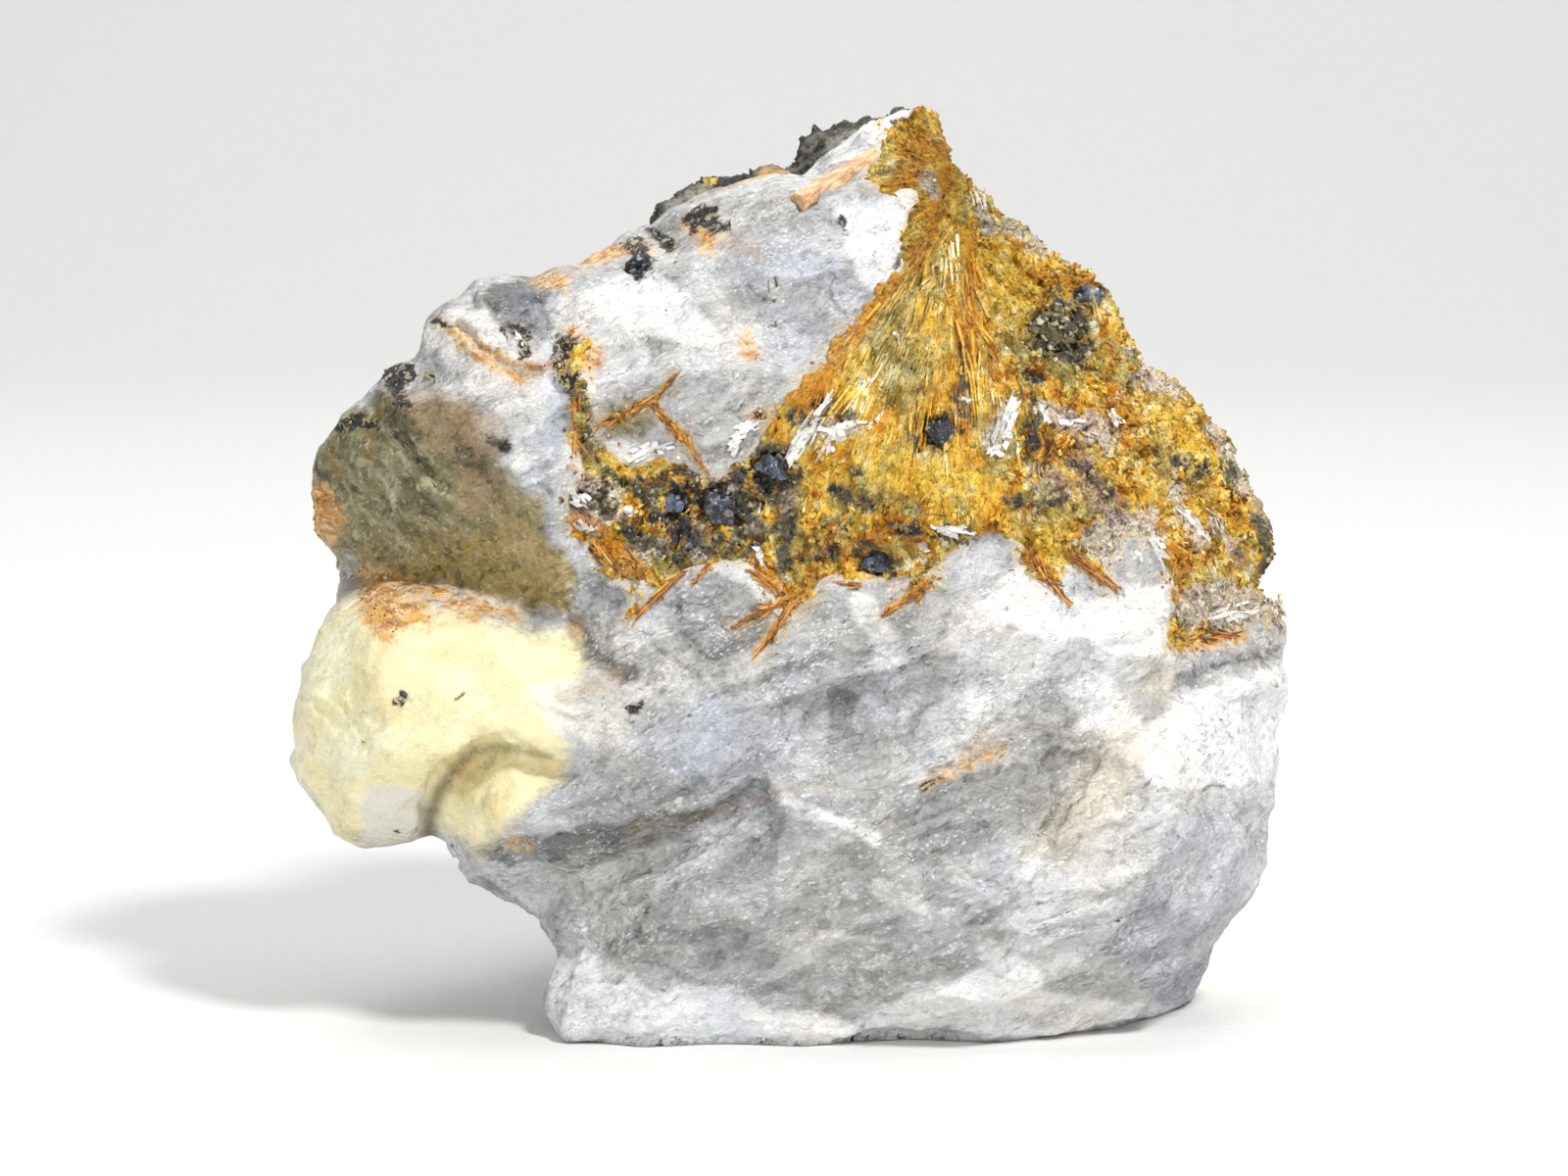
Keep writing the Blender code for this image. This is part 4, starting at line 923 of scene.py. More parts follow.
def tree_of(rock, outer):
    """The quartz and the crust on it, for finding what the camera sees."""
    points = np.concatenate([rock.points, outer.points])
    faces = np.concatenate([rock.faces, outer.faces + len(rock.points)])
    return BVHTree.FromPolygons(points.tolist(), faces.tolist())


def joined(name, parts, fields):
    """One object from many small parts, each (points, faces), without those that reach the table.

    Each of the fields has one row for each part."""
    above = [corners[:, 2].min() > OVER_TABLE for corners, _ in parts]
    parts = list(itertools.compress(parts, above))
    counts = [len(corners) for corners, _ in parts]
    starts = np.cumsum([0] + counts)
    faces = [[start + index for index in side] for start, (_, sides) in zip(starts, parts) for side in sides]
    mesh = bpy.data.meshes.new(name)
    mesh.from_pydata(np.concatenate([corners for corners, _ in parts]), [], faces)
    write_fields(mesh, {
        field: np.repeat(np.asarray(values, np.float32)[above], counts, axis=0)
        for field, values in fields.items()
    })
    mesh.update()
    return in_scene(name, mesh)


LATH_SIDES = [(0, 1, 2, 3), (7, 6, 5, 4), (0, 4, 5, 1), (1, 5, 6, 2), (2, 6, 7, 3), (3, 7, 4, 0)]


def lath(middle, along, up, length, width, thickness, taper, skew):
    """A thin blade: a box whose far end is narrower and thinner, its ends cut at a slant."""
    side = up.cross(along).normalized()
    up = along.cross(side).normalized()
    corners = []
    for end in (-1, 1):
        for across, height in ((-1, -1), (1, -1), (1, 1), (-1, 1)):
            narrow = taper if end > 0 else 1.0
            reach_along = end * length / 2 + across * skew * width
            corner = middle + along * reach_along + side * (across * width / 2 * narrow)
            corners.append(corner + up * (height * thickness / 2 * (0.7 if end > 0 else 1.0)))
    return np.array(corners), LATH_SIDES


def grain_shape(draw, flatness):
    """An angular grain about two units across: the hull of points scattered round a ball."""
    bm = bmesh.new()
    for _ in range(11):
        away = Vector([draw.gauss(0, 1) for _ in range(3)]).normalized()
        away = Vector([math.copysign(abs(c) ** 0.7, c) for c in away])
        bm.verts.new((away.x, away.y * draw.uniform(0.7, 1), away.z * flatness))
    bmesh.ops.convex_hull(bm, input=bm.verts[:])
    bmesh.ops.delete(bm, geom=[vertex for vertex in bm.verts if not vertex.link_faces], context="VERTS")
    bm.verts.index_update()
    made = np.array([vertex.co for vertex in bm.verts]), [[v.index for v in face.verts] for face in bm.faces]
    bm.free()
    return made


def rotated(column, row, turn):
    """A direction on the picture's grid, turned."""
    sine, cosine = math.sin(turn), math.cos(turn)
    return column * cosine - row * sine, column * sine + row * cosine


SHAPE_DRAW = random.Random(3)
GRAIN_SHAPES = [grain_shape(SHAPE_DRAW, SHAPE_DRAW.uniform(0.45, 0.9)) for _ in range(18)]


def grain_at(rng, middle, size):
    """A grain of one of the shapes, turned at random."""
    corners, sides = GRAIN_SHAPES[rng.integers(len(GRAIN_SHAPES))]
    turn = np.array(Quaternion(rng.normal(size=4)).normalized().to_matrix())
    return corners * size @ turn + middle, sides


def scattered(surface, weight, count, sizes, seed):
    """Grains half sunk in a surface, more of them where the weight is larger, and the points they sit on."""
    rng = np.random.default_rng(seed)
    seats = rng.choice(len(weight), count, p=weight / weight.sum())
    normals = surface.normals()
    parts = []
    for seat in seats:
        size = sizes[0] + (sizes[1] - sizes[0]) * rng.random() ** 2.5
        middle = surface.points[seat] + normals[seat] * size * rng.uniform(-0.5, 0.25)
        parts.append(grain_at(rng, middle, size))
    return parts, seats


# Grains of each kind: how many, their smallest and largest size, and the seed of their places.
LOOSE_GRAINS = (2600, (0.00012, 0.0004), 22)
BLACK_SPECKS = (320, (0.00006, 0.00024), 24)
CROWDED_GRAINS = (1500, (0.0001, 0.00042), 25)
STAIN_GRAINS = (700, (0.00007, 0.00024), 26)
EDGE_GRAINS = (500, (0.00008, 0.00028), 27)
# Bundles of blades: how many, their blades' length and width, and how far they stray from the fibres.
SHORT_BUNDLES = (430, (0.0006, 0.0020), (0.00012, 0.00032), 0.45)
LONG_BUNDLES = (170, (0.0016, 0.0050), (0.00010, 0.00030), 0.06)


def bundle_blades(outer, normals, weight, bundles, draw):
    """Blades in bundles along the ardennite's fibres: their shapes, the points under them, their tones."""
    count, lengths, widths, swing = bundles
    chosen = draw.choices(range(len(weight)), weights=weight.tolist(), k=count)
    spots, _ = places(outer.points[chosen])
    away = spots - FAN_TOP
    away /= np.linalg.norm(away, axis=1)[:, None]
    parts, seats, tones = [], [], []
    for seat, radial in zip(chosen, away):
        normal = Vector(normals[seat]).normalized()
        across, down = rotated(*radial, draw.gauss(0, swing))
        along = Vector((across, 0, 0)) - Vector(UPWARD) * down
        along = (along - normal * along.dot(normal)).normalized()
        side = normal.cross(along)
        tilt, bundle_tone = draw.uniform(-0.1, 0.05), draw.random()
        length = lengths[0] + (lengths[1] - lengths[0]) * draw.random() ** 1.5
        for i in range(draw.randint(2, 7)):
            width = draw.uniform(*widths)
            lean = along + normal * (tilt + draw.gauss(0, 0.04)) + side * draw.gauss(0, 0.2 * swing)
            middle = Vector(outer.points[seat]) + side * (i - 2) * width * draw.uniform(0.7, 1.3)
            middle += normal * draw.uniform(-0.00016, 0.00003) + along * draw.gauss(0, 0.25) * length
            up = (normal + side * draw.uniform(-0.7, 0.7)).normalized()
            parts.append(lath(
                middle, lean.normalized(), up, length * draw.uniform(0.5, 1), width,
                width * draw.uniform(0.35, 0.9), 0.6, draw.uniform(-0.7, 0.7),
            ))
            seats.append(seat)
            tones.append(min(1, max(0, bundle_tone + draw.gauss(0, 0.1))))
    return parts, seats, tones


def ardennite_blades(outer, fields):
    """Short blades in bundles all over the ardennite, long ones where it is fibrous, and loose grains."""
    draw = random.Random(21)
    normals = outer.smoothed(outer.normals(), 3)
    inside = eased(fields["edge"], 3, 6)
    fibrous = fibrous_share(fields["fan"])
    parts, seats, tones = bundle_blades(outer, normals, inside * (1.15 - fibrous), SHORT_BUNDLES, draw)
    inside = eased(fields["edge"], 8, 20) * on_front(outer)
    inside *= eased(fields["fan"][:, 1], 0.25, 0.6) * (1 - eased(fields["fan"][:, 1], 1.0, 1.4))
    longer = bundle_blades(outer, normals, inside * fibrous, LONG_BUNDLES, draw)
    grains, grain_seats = scattered(outer, eased(fields["edge"], 0, 4) * (1.1 - fibrous), *LOOSE_GRAINS)
    parts, tones = parts + longer[0] + grains, tones + longer[2] + [draw.random() for _ in grains]
    seats = np.concatenate([seats, longer[1], grain_seats]).astype(int)
    kept = {name: values[seats] for name, values in fields.items()}
    return joined("ardennite_blades", parts, kept | {"tone": tones})


# White mica and pale laths: (start, end, width of the bundle, half the number of laths).
WHITE_LATHS = [
    ((806, 466), (846, 408), 8, 9), ((836, 440), (862, 446), 8, 6), ((842, 446), (848, 462), 7, 5),
    ((852, 436), (884, 432), 5, 5), ((822, 444), (836, 424), 8, 5), ((884, 440), (900, 422), 3, 3),
    ((1008, 466), (1024, 458), 9, 5), ((1018, 462), (1038, 408), 9, 8), ((1026, 430), (1036, 416), 8, 4),
    ((638, 470), (668, 456), 9, 9), ((660, 458), (684, 454), 7, 5), ((744, 462), (760, 440), 8, 7),
    ((752, 446), (768, 432), 8, 6), ((752, 438), (776, 434), 7, 5), ((1204, 520), (1240, 556), 7, 7),
    ((1176, 546), (1190, 576), 5, 4), ((936, 552), (946, 566), 9, 5), ((944, 540), (992, 542), 5, 7),
    ((1062, 410), (1068, 432), 6, 4), ((1130, 418), (1146, 436), 6, 4), ((580, 536), (608, 540), 5, 5),
    ((636, 516), (646, 530), 6, 4), ((1210, 638), (1280, 622), 8, 6), ((1080, 434), (1104, 430), 6, 4),
    ((584, 500), (600, 520), 7, 5), ((720, 522), (756, 500), 6, 5), ((770, 556), (782, 580), 6, 4),
    ((914, 340), (922, 358), 4, 3), ((1000, 352), (1006, 372), 3, 3), ((524, 342), (532, 352), 5, 3),
    ((980, 410), (996, 406), 4, 3), ((1150, 560), (1164, 570), 5, 4),
]
# Rusty blades that run into the quartz, in the same form.
RUSTY_SPRAYS = [
    ((814, 608), (772, 670), 4, 22), ((812, 606), (750, 640), 3, 14), ((764, 580), (800, 612), 7, 14),
    ((946, 594), (898, 632), 3, 13), ((946, 598), (932, 620), 3, 6), ((696, 584), (644, 634), 5, 15),
    ((638, 560), (660, 594), 6, 9), ((1046, 562), (1092, 618), 6, 16), ((1092, 562), (1138, 602), 5, 12),
    ((612, 434), (668, 408), 5, 12), ((664, 412), (692, 380), 4, 9), ((668, 414), (696, 450), 4, 9),
    ((694, 440), (719, 480), 4, 11), ((640, 590), (600, 556), 6, 8), ((724, 576), (704, 600), 4, 5),
    ((586, 400), (590, 460), 6, 10), ((1200, 655), (1264, 648), 4, 9), ((850, 596), (880, 600), 4, 5),
]
# Dark needles in the quartz: (start, end, width), in squares.
NEEDLES = [
    ((784, 286), (785, 298), 2.4), ((791, 282), (792, 294), 2), ((781, 303), (791, 309), 2),
    ((859, 224), (861, 240), 4), ((919, 260), (911, 281), 6), ((691, 271), (693, 275), 3),
    ((787, 331), (795, 335), 2), ((743, 224), (747, 242), 2.4), ((512, 334), (518, 348), 3),
    ((434, 383), (442, 387), 5), ((470, 456), (484, 464), 4), ((498, 446), (520, 458), 5),
    ((402, 714), (410, 719), 4), ((411, 708), (416, 709), 3), ((466, 714), (474, 707), 4),
    ((369, 757), (374, 758), 3), ((640, 721), (646, 728), 3), ((647, 723), (651, 729), 2),
    ((645, 718), (653, 720), 2), ((402, 848), (406, 848), 2), ((940, 805), (956, 795), 5),
    ((404, 442), (414, 456), 2.4), ((414, 452), (424, 468), 2.4), ((422, 466), (436, 482), 2),
    ((434, 480), (446, 497), 2), ((1204, 651), (1236, 648), 5), ((530, 338), (538, 350), 6),
]


def lath_between(tree, start, end, width, thickness, draw, rise):
    """A lath on the rock from one square to another, or nothing where the camera sees no rock."""
    (column_a, row_a), (column_b, row_b) = start, end
    point, normal = seated(tree, (column_a + column_b) / 2, (row_a + row_b) / 2)
    if point is None:
        return None
    along = Vector((column_b - column_a, 0, 0)) - Vector(UPWARD) * (row_b - row_a)
    length = along.length * SQUARE
    along = along.normalized()
    along = (along - normal * along.dot(normal) * 0.8).normalized()
    middle = point + normal * rise
    return lath(middle, along, normal, length, width, thickness, 0.8, draw.uniform(-0.5, 0.5))


def lath_bundles(tree, bundles, widths, seed):
    """Laths laid along each bundle's line; a bundle is (start, end, width, half the number of laths)."""
    draw = random.Random(seed)
    parts = []
    for start, end, spread, count in bundles:
        run = (end[0] - start[0], end[1] - start[1])
        for _ in range(2 * count):
            share, half, turn = draw.uniform(0.1, 0.9), draw.uniform(0.08, 0.24), draw.gauss(0, 0.16)
            column = start[0] + run[0] * share + draw.gauss(0, spread * 0.35)
            row = start[1] + run[1] * share + draw.gauss(0, spread * 0.35)
            across, down = (half * step for step in rotated(*run, turn))
            parts.append(lath_between(
                tree, (column - across, row - down), (column + across, row + down),
                min(draw.uniform(*widths), math.hypot(*run) * SQUARE * 0.3),
                draw.uniform(0.00006, 0.00016), draw, draw.uniform(0.00002, 0.00026),
            ))
    return [part for part in parts if part]


def white_laths(tree):
    parts = lath_bundles(tree, WHITE_LATHS, (0.00015, 0.0006), 5)
    return joined("white_laths", parts, {"tone": np.random.default_rng(5).random(len(parts))})


def rusty_sprays(tree):
    """Rusty blades that run out of the ardennite into the quartz."""
    parts = lath_bundles(tree, RUSTY_SPRAYS, (0.00008, 0.00024), 6)
    return joined("rusty_sprays", parts, {"tone": np.random.default_rng(6).uniform(0, 0.45, len(parts))})


def dark_grains(tree, rock, rock_fields, outer, fields):
    """Black specks and needles on the quartz, and the dark crowded grains in the ardennite."""
    draw = random.Random(8)
    parts = [
        lath_between(tree, start, end, 0.6 * width * SQUARE, 0.4 * width * SQUARE, draw, 0.00001)
        for start, end, width in NEEDLES
    ]
    parts = [part for part in parts if part]
    broken = eased(noise(rock.points / 0.0008, 57), -0.2, 0.3)
    parts += scattered(rock, broken * eased(rock_fields["black"], -4, 4), *BLACK_SPECKS)[0]
    parts += scattered(outer, eased(fields["dark"], -3, 5) * (fields["edge"] > 1), *CROWDED_GRAINS)[0]
    return joined("dark_grains", parts, {"tone": [draw.random() for _ in parts]})


def rusty_grains(rock, fields):
    """The ochre and rust coating of the quartz, built up from grains."""
    draw = random.Random(9)
    parts, _ = scattered(rock, eased(fields["rust"], -3, 6), *STAIN_GRAINS)
    near_ore = eased(fields["ore"], -14, -3) * eased(noise(rock.points / 0.0022, 56), 0.05, 0.5)
    parts += scattered(rock, near_ore, *EDGE_GRAINS)[0]
    return joined("rusty_grains", parts, {"tone": [draw.random() for _ in parts]})


CROWDED = 6  # the number of the dark olive lens, which is a crowd of small grains
# A grain's crystals: how many; the largest's size, the core's size and the depth beside the CAD grain's;
# and the darkest tone.
CRYSTALS, CROWD = (16, 0.5, 0.9, 0.85, 0.0), (150, 0.4, 0.55, 0.5, 0.2)


def hematite_grain(number):
    """A block with angular crystals on it, in the place of the CAD's grain."""
    name = f"hematite_grain_{number}"
    count, largest, core, depth, darkest = CROWD if number == CROWDED else CRYSTALS
    low, high = (np.array(corner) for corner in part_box(name))
    middle, half = (low + high) / 2, (high - low) / 2 * (1, depth, 1)
    rng = np.random.default_rng(100 + number)
    corners, sides = grain_at(rng, 0, 1)
    parts = [(corners / np.abs(corners).max(axis=0) * half * core + middle, sides)]
    for _ in range(count):
        away = rng.normal(size=3)
        seat = middle + away / np.linalg.norm(away) * half * 0.72
        parts.append(grain_at(rng, seat, half.min() * rng.uniform(0.12, largest)))
    grain = joined(name + "_crystals", parts, {"tone": rng.uniform(darkest, 1, len(parts))})
    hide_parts(name)
    return grain


PRISM_CELL = 0.00013


def pink_prism():
    """The prism on the top edge, with grooves along it and worn ends."""
    surface = evened(solid("pink_prism"), PRISM_CELL)
    low, high = surface.points.min(axis=0), surface.points.max(axis=0)
    axis = np.array((high[0] - low[0], 0.0, high[2] - low[2]))
    axis /= np.linalg.norm(axis)
    along = surface.points @ axis
    flat = surface.points - along[:, None] * axis
    stretched = flat / 0.0005 + along[:, None] / 0.0035 * axis
    move = 0.00013 * noise(stretched, 61) + 0.00016 * noise(surface.points / 0.0013, 62) + 0.0001
    points = surface.points + surface.normals() * move[:, None]
    prism = shown("pink_prism_crystal", Surface(points, surface.faces))
    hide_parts("pink_prism")
    return prism


# ---- Materials ----
class Value:
    """An output of a node, which can be added, subtracted and multiplied like a number."""

    def __init__(self, nodes, socket):
        self.nodes, self.socket = nodes, socket

    def __add__(self, other):
        return self.nodes.math("ADD", self, other)

    def __sub__(self, other):
        return self.nodes.math("SUBTRACT", self, other)

    def __rsub__(self, other):
        return self.nodes.math("SUBTRACT", other, self)

    def __mul__(self, other):
        return self.nodes.math("MULTIPLY", self, other)


class Nodes:
    """A material's nodes, made by expressions; an input is a number, a colour, a vector or a Value."""

    def __init__(self, name):
        self.material = bpy.data.materials.new(name)
        self.material.use_nodes = True
        self.tree = self.material.node_tree
        self.made = {}
        self.here = self.node("ShaderNodeTexCoord", "Object", {})

    def put(self, node, socket, value):
        if isinstance(value, Value):
            self.tree.links.new(value.socket, node.inputs[socket])
        else:
            node.inputs[socket].default_value = value

    def node(self, kind, output, inputs, **settings):
        """An output of a node with these inputs and settings, which is made once and then shared."""
        key = (kind, tuple(inputs.items()), tuple(settings.items()))
        if key not in self.made:
            node = self.made[key] = self.tree.nodes.new(kind)
            for name, value in settings.items():
                setattr(node, name, value)
            for socket, value in inputs.items():
                self.put(node, socket, value)
        return Value(self, self.made[key].outputs[output])

    def field(self, name, output="Fac"):
        return self.node("ShaderNodeAttribute", output, {}, attribute_name=name)

    def part(self, vector, axis):
        return self.node("ShaderNodeSeparateXYZ", axis, {0: vector})

    def math(self, operation, a, b):
        return self.node("ShaderNodeMath", 0, {0: a, 1: b}, operation=operation)

    def vector(self, operation, *values, output="Vector"):
        return self.node("ShaderNodeVectorMath", output, dict(enumerate(values)), operation=operation)

    def stretched(self, scale, turn=(0, 0, 0), source=None):
        """Coordinates turned and scaled, so that a texture of scale 1 on them has this size in metres."""
        inputs = {"Vector": source or self.here, "Scale": scale, "Rotation": turn}
        return self.node("ShaderNodeMapping", "Vector", inputs, vector_type="TEXTURE")

    def noise(self, scale, detail=2.0, source=None, output="Fac", roughness=0.55):
        inputs = {"Vector": source or self.here, "Scale": scale, "Detail": detail, "Roughness": roughness}
        return self.node("ShaderNodeTexNoise", output, inputs)

    def warped(self, scale, reach):
        """Coordinates pushed about by noise."""
        push = self.noise(scale, output="Color", roughness=0.5)
        return self.vector("MULTIPLY_ADD", push, (reach, reach, reach), self.here)

    def cells(self, scale, output="Color", source=None, feature="F1"):
        inputs = {"Vector": source or self.here, "Scale": scale}
        return self.node("ShaderNodeTexVoronoi", output, inputs, feature=feature)

    def rise(self, value, low, high):
        """0 where the value is under low, 1 over high, and a smooth rise between."""
        inputs = {"Value": value, "From Min": low, "From Max": high}
        return self.node("ShaderNodeMapRange", "Result", inputs, interpolation_type="SMOOTHSTEP")

    def patch(self, name, soft, ragged, grain):
        """How far a painted patch covers the surface; its edge is soft and ragged by so many squares."""
        rag = (self.noise(grain, 3) - 0.5) * (2.0 * ragged)
        return self.rise(self.field(name) + rag, -soft, soft)

    def mix(self, share, a, b, blend="MIX"):
        a, b = ((*value, 1) if isinstance(value, tuple) else value for value in (a, b))
        return self.node("ShaderNodeMix", 2, {0: share, 6: a, 7: b}, data_type="RGBA", blend_type=blend)

    def blots(self, scale, low, high):
        return self.rise(self.noise(scale), low, high)

    def coated(self, colour, *coats):
        """A colour under coats of others, each (how far it covers, its colour) and maybe how it blends."""
        for share, coat, *blend in coats:
            colour = self.mix(share, colour, coat, *blend)
        return colour

    def ramp(self, value, *stops):
        """A colour that goes through the stops, each (place from 0 to 1, colour)."""
        node = self.tree.nodes.new("ShaderNodeValToRGB")
        elements = node.color_ramp.elements
        while len(elements) < len(stops):
            elements.new(0.5)
        for element, (place, colour) in zip(elements, stops):
            element.position, element.color = place, (*colour, 1)
        self.put(node, 0, value)
        return Value(self, node.outputs[0])

    def bump(self, height, distance, under=None, strength=1.0):
        inputs = {"Distance": distance, "Strength": strength, "Height": height}
        return self.node("ShaderNodeBump", "Normal", inputs | ({"Normal": under} if under else {}))

    def facets(self, scale, distance, under=None, source=None, strength=1.0):
        """Bumps of many small flat faces, each tilted its own way."""
        middle, own = (self.cells(scale, output, source) for output in ("Position", "Color"))
        away = self.vector("SUBTRACT", source or self.here, middle)
        tilt = self.vector("SUBTRACT", own, (0.5, 0.5, 0.5))
        return self.bump(self.vector("DOT_PRODUCT", away, tilt, output="Value"), distance, under, strength)

    def finish(self, colour, roughness, normal, **settings):
        inputs = {"Base Color": colour, "Roughness": roughness, "Normal": normal}
        inputs |= {name.replace("_", " "): value for name, value in settings.items()}
        for socket, value in inputs.items():
            self.put(self.tree.nodes["Principled BSDF"], socket, value)
        return self.material


CREAM, TAN, LILAC, PEACH = (0.88, 0.80, 0.47), (0.46, 0.31, 0.17), (0.58, 0.62, 0.78), (0.80, 0.54, 0.28)
RUST, DARK_RUST, ORANGE = (0.48, 0.20, 0.035), (0.16, 0.055, 0.012), (0.72, 0.38, 0.08)
BROAD, MIDDLING, CLOSE = 250, 420, 800  # scales of the noise that makes the quartz's patches ragged
PLATE, FLAKE, GRIT = (0.0030, 0.0013, 0.0013), (0.0011, 0.0005, 0.0005), (0.0005, 0.0003, 0.0003)


def quartz_material():
    """Milky to smoky grey quartz in small flat faces with painted shade and highlights, under glints, stains
    and specks.
    """
    n = Nodes("quartz_broken")
    mottle, fine, blotch = n.noise(700), n.noise(2600), n.noise(260)
    turn, bent = (0, -STREAK_TILT, 0), n.warped(420, 0.0012)
    streak = n.noise(1.0, 3, n.stretched((0.0034, 0.0016, 0.0011), turn))
    plates, flakes, grit = (n.stretched(size, turn, bent) for size in (PLATE, FLAKE, GRIT))

    milk_and_shading = (n.field("milk_and_shading") + (n.noise(130) - 0.5) * 0.8) * 0.22 + 0.525
    # the grey and smoke patches lay painted shade into the milkiness, the white patches painted highlights
    milk_and_shading = milk_and_shading + n.patch("grey_and_shade", 4, 14, BROAD) * -0.13 + n.patch("smoke_and_shade", 4, 14, BROAD) * -0.30
    milk_and_shading = milk_and_shading + n.patch("white_and_highlight", 5, 16, BROAD) * 0.33
    for value, share in (
        (streak, 0.08), (mottle, 0.07), (fine, 0.15), (n.cells(1, source=plates), 0.15),
        (n.cells(1, source=flakes), 0.09), (n.cells(1, source=grit), 0.12),
    ):
        milk_and_shading = milk_and_shading + (value - 0.5) * share
    grey_and_shade = n.ramp(
        milk_and_shading, (0.10, (0.17, 0.17, 0.17)), (0.35, (0.40, 0.40, 0.395)), (0.60, (0.64, 0.64, 0.64)),
        (0.85, (0.90, 0.90, 0.90)),
    )
    warmth = n.ramp(n.noise(110), (0.38, (0.90, 0.94, 1.0)), (0.60, (1.0, 0.965, 0.90)))
    colour = n.coated(
        grey_and_shade, (0.65, warmth, "MULTIPLY"), (n.patch("lilac", 14, 14, BROAD) * 0.42, LILAC, "MULTIPLY"),
        (n.patch("beige", 18, 20, BROAD), (0.98, 0.91, 0.80), "MULTIPLY"),
    )
    for chip, spread, share in ((grit, 2.2, 0.42), (flakes, 2.0, 0.32)):
        clusters = n.cells(1, source=chip) + blotch * spread
        ragged = n.cells(1, "Distance", chip) + fine * 0.9
        glint = n.rise(ragged, 0.84, 0.70) * n.rise(clusters, 1.74, 1.88)
        colour = n.mix(glint * share, colour, (0.95, 0.95, 0.96))

    creamy = n.patch("cream", 14, 24, BROAD)
    cream = n.coated(
        CREAM, (n.rise(blotch, 0.48, 0.72), (0.86, 0.70, 0.38)),
        (n.rise(milk_and_shading, 0.45, 0.75), (0.93, 0.90, 0.66)), (n.rise(milk_and_shading, 0.42, 0.25), (0.66, 0.60, 0.36)),
    )
    dip = (0, math.radians(38), 0)
    layers = n.noise(1.0, 3, n.stretched((0.006, 0.003, 0.0012), dip, n.warped(160, 0.004)))
    olive = n.ramp(
        layers, (0.30, (0.09, 0.08, 0.035)), (0.46, (0.21, 0.19, 0.09)), (0.56, (0.29, 0.265, 0.14)),
        (0.72, (0.56, 0.51, 0.34)),
    )
    olive = n.coated(
        olive, (n.blots(330, 0.52, 0.66) * 0.6, (0.30, 0.18, 0.055)),
        (n.patch("honey", 18, 26, BROAD) * 0.75, (0.38, 0.28, 0.08)),
        (n.blots(1000, 0.53, 0.62) * 0.5, (0.06, 0.052, 0.022)),
        (n.blots(1700, 0.58, 0.68) * 0.5, (0.60, 0.56, 0.42)),
    )
    threads = n.noise(1.0, 3, n.stretched((0.0026, 0.0010, 0.0007), (0, 0.4, 0), bent))
    rust = n.coated(
        PEACH, (n.blots(480, 0.42, 0.58), ORANGE), (n.rise(threads, 0.50, 0.60), RUST),
        (n.rise(threads, 0.62, 0.70), DARK_RUST),
    )
    near_black = n.mix(n.rise(mottle, 0.4, 0.6), (0.46, 0.34, 0.10), (0.12, 0.09, 0.05))
    colour = n.coated(
        colour, (creamy, cream), (n.patch("clear", 6, 14, BROAD) * 0.8, (0.74, 0.72, 0.66)),
        (n.patch("olive", 9, 30, BROAD), olive),
        (n.patch("umber", 9, 18, MIDDLING) * 0.8, (0.40, 0.35, 0.28), "MULTIPLY"),
        (n.patch("tan", 8, 16, MIDDLING) * 0.4, TAN),
        (n.patch("shade", 8, 4, MIDDLING) * 0.9, (0.18, 0.15, 0.08), "MULTIPLY"),
        (n.patch("ore", 9, 16, MIDDLING) * 0.5, (0.74, 0.55, 0.24)),
        (n.patch("rust", 14, 16, MIDDLING) * 0.5, (0.80, 0.60, 0.30)),
        (n.patch("rust", 7, 20, CLOSE) * 0.9, rust), (n.patch("black", 4, 10, CLOSE) * 0.7, near_black),
        (n.patch("black", 2, 12, CLOSE) * n.blots(1300, 0.40, 0.46), (0.018, 0.017, 0.018)),
    )
    crisp = 1.0 - creamy * 0.65
    normal = n.facets(1, 0.00042, n.facets(1, 0.00048, None, plates, crisp), flakes, crisp)
    normal = n.bump(n.noise(5200), 0.00012, n.facets(1, 0.00018, normal, grit, crisp))
    return n.finish(colour, n.rise(mottle, 0.3, 0.7) * 0.25 + 0.24, normal, Specular_IOR_Level=0.6)


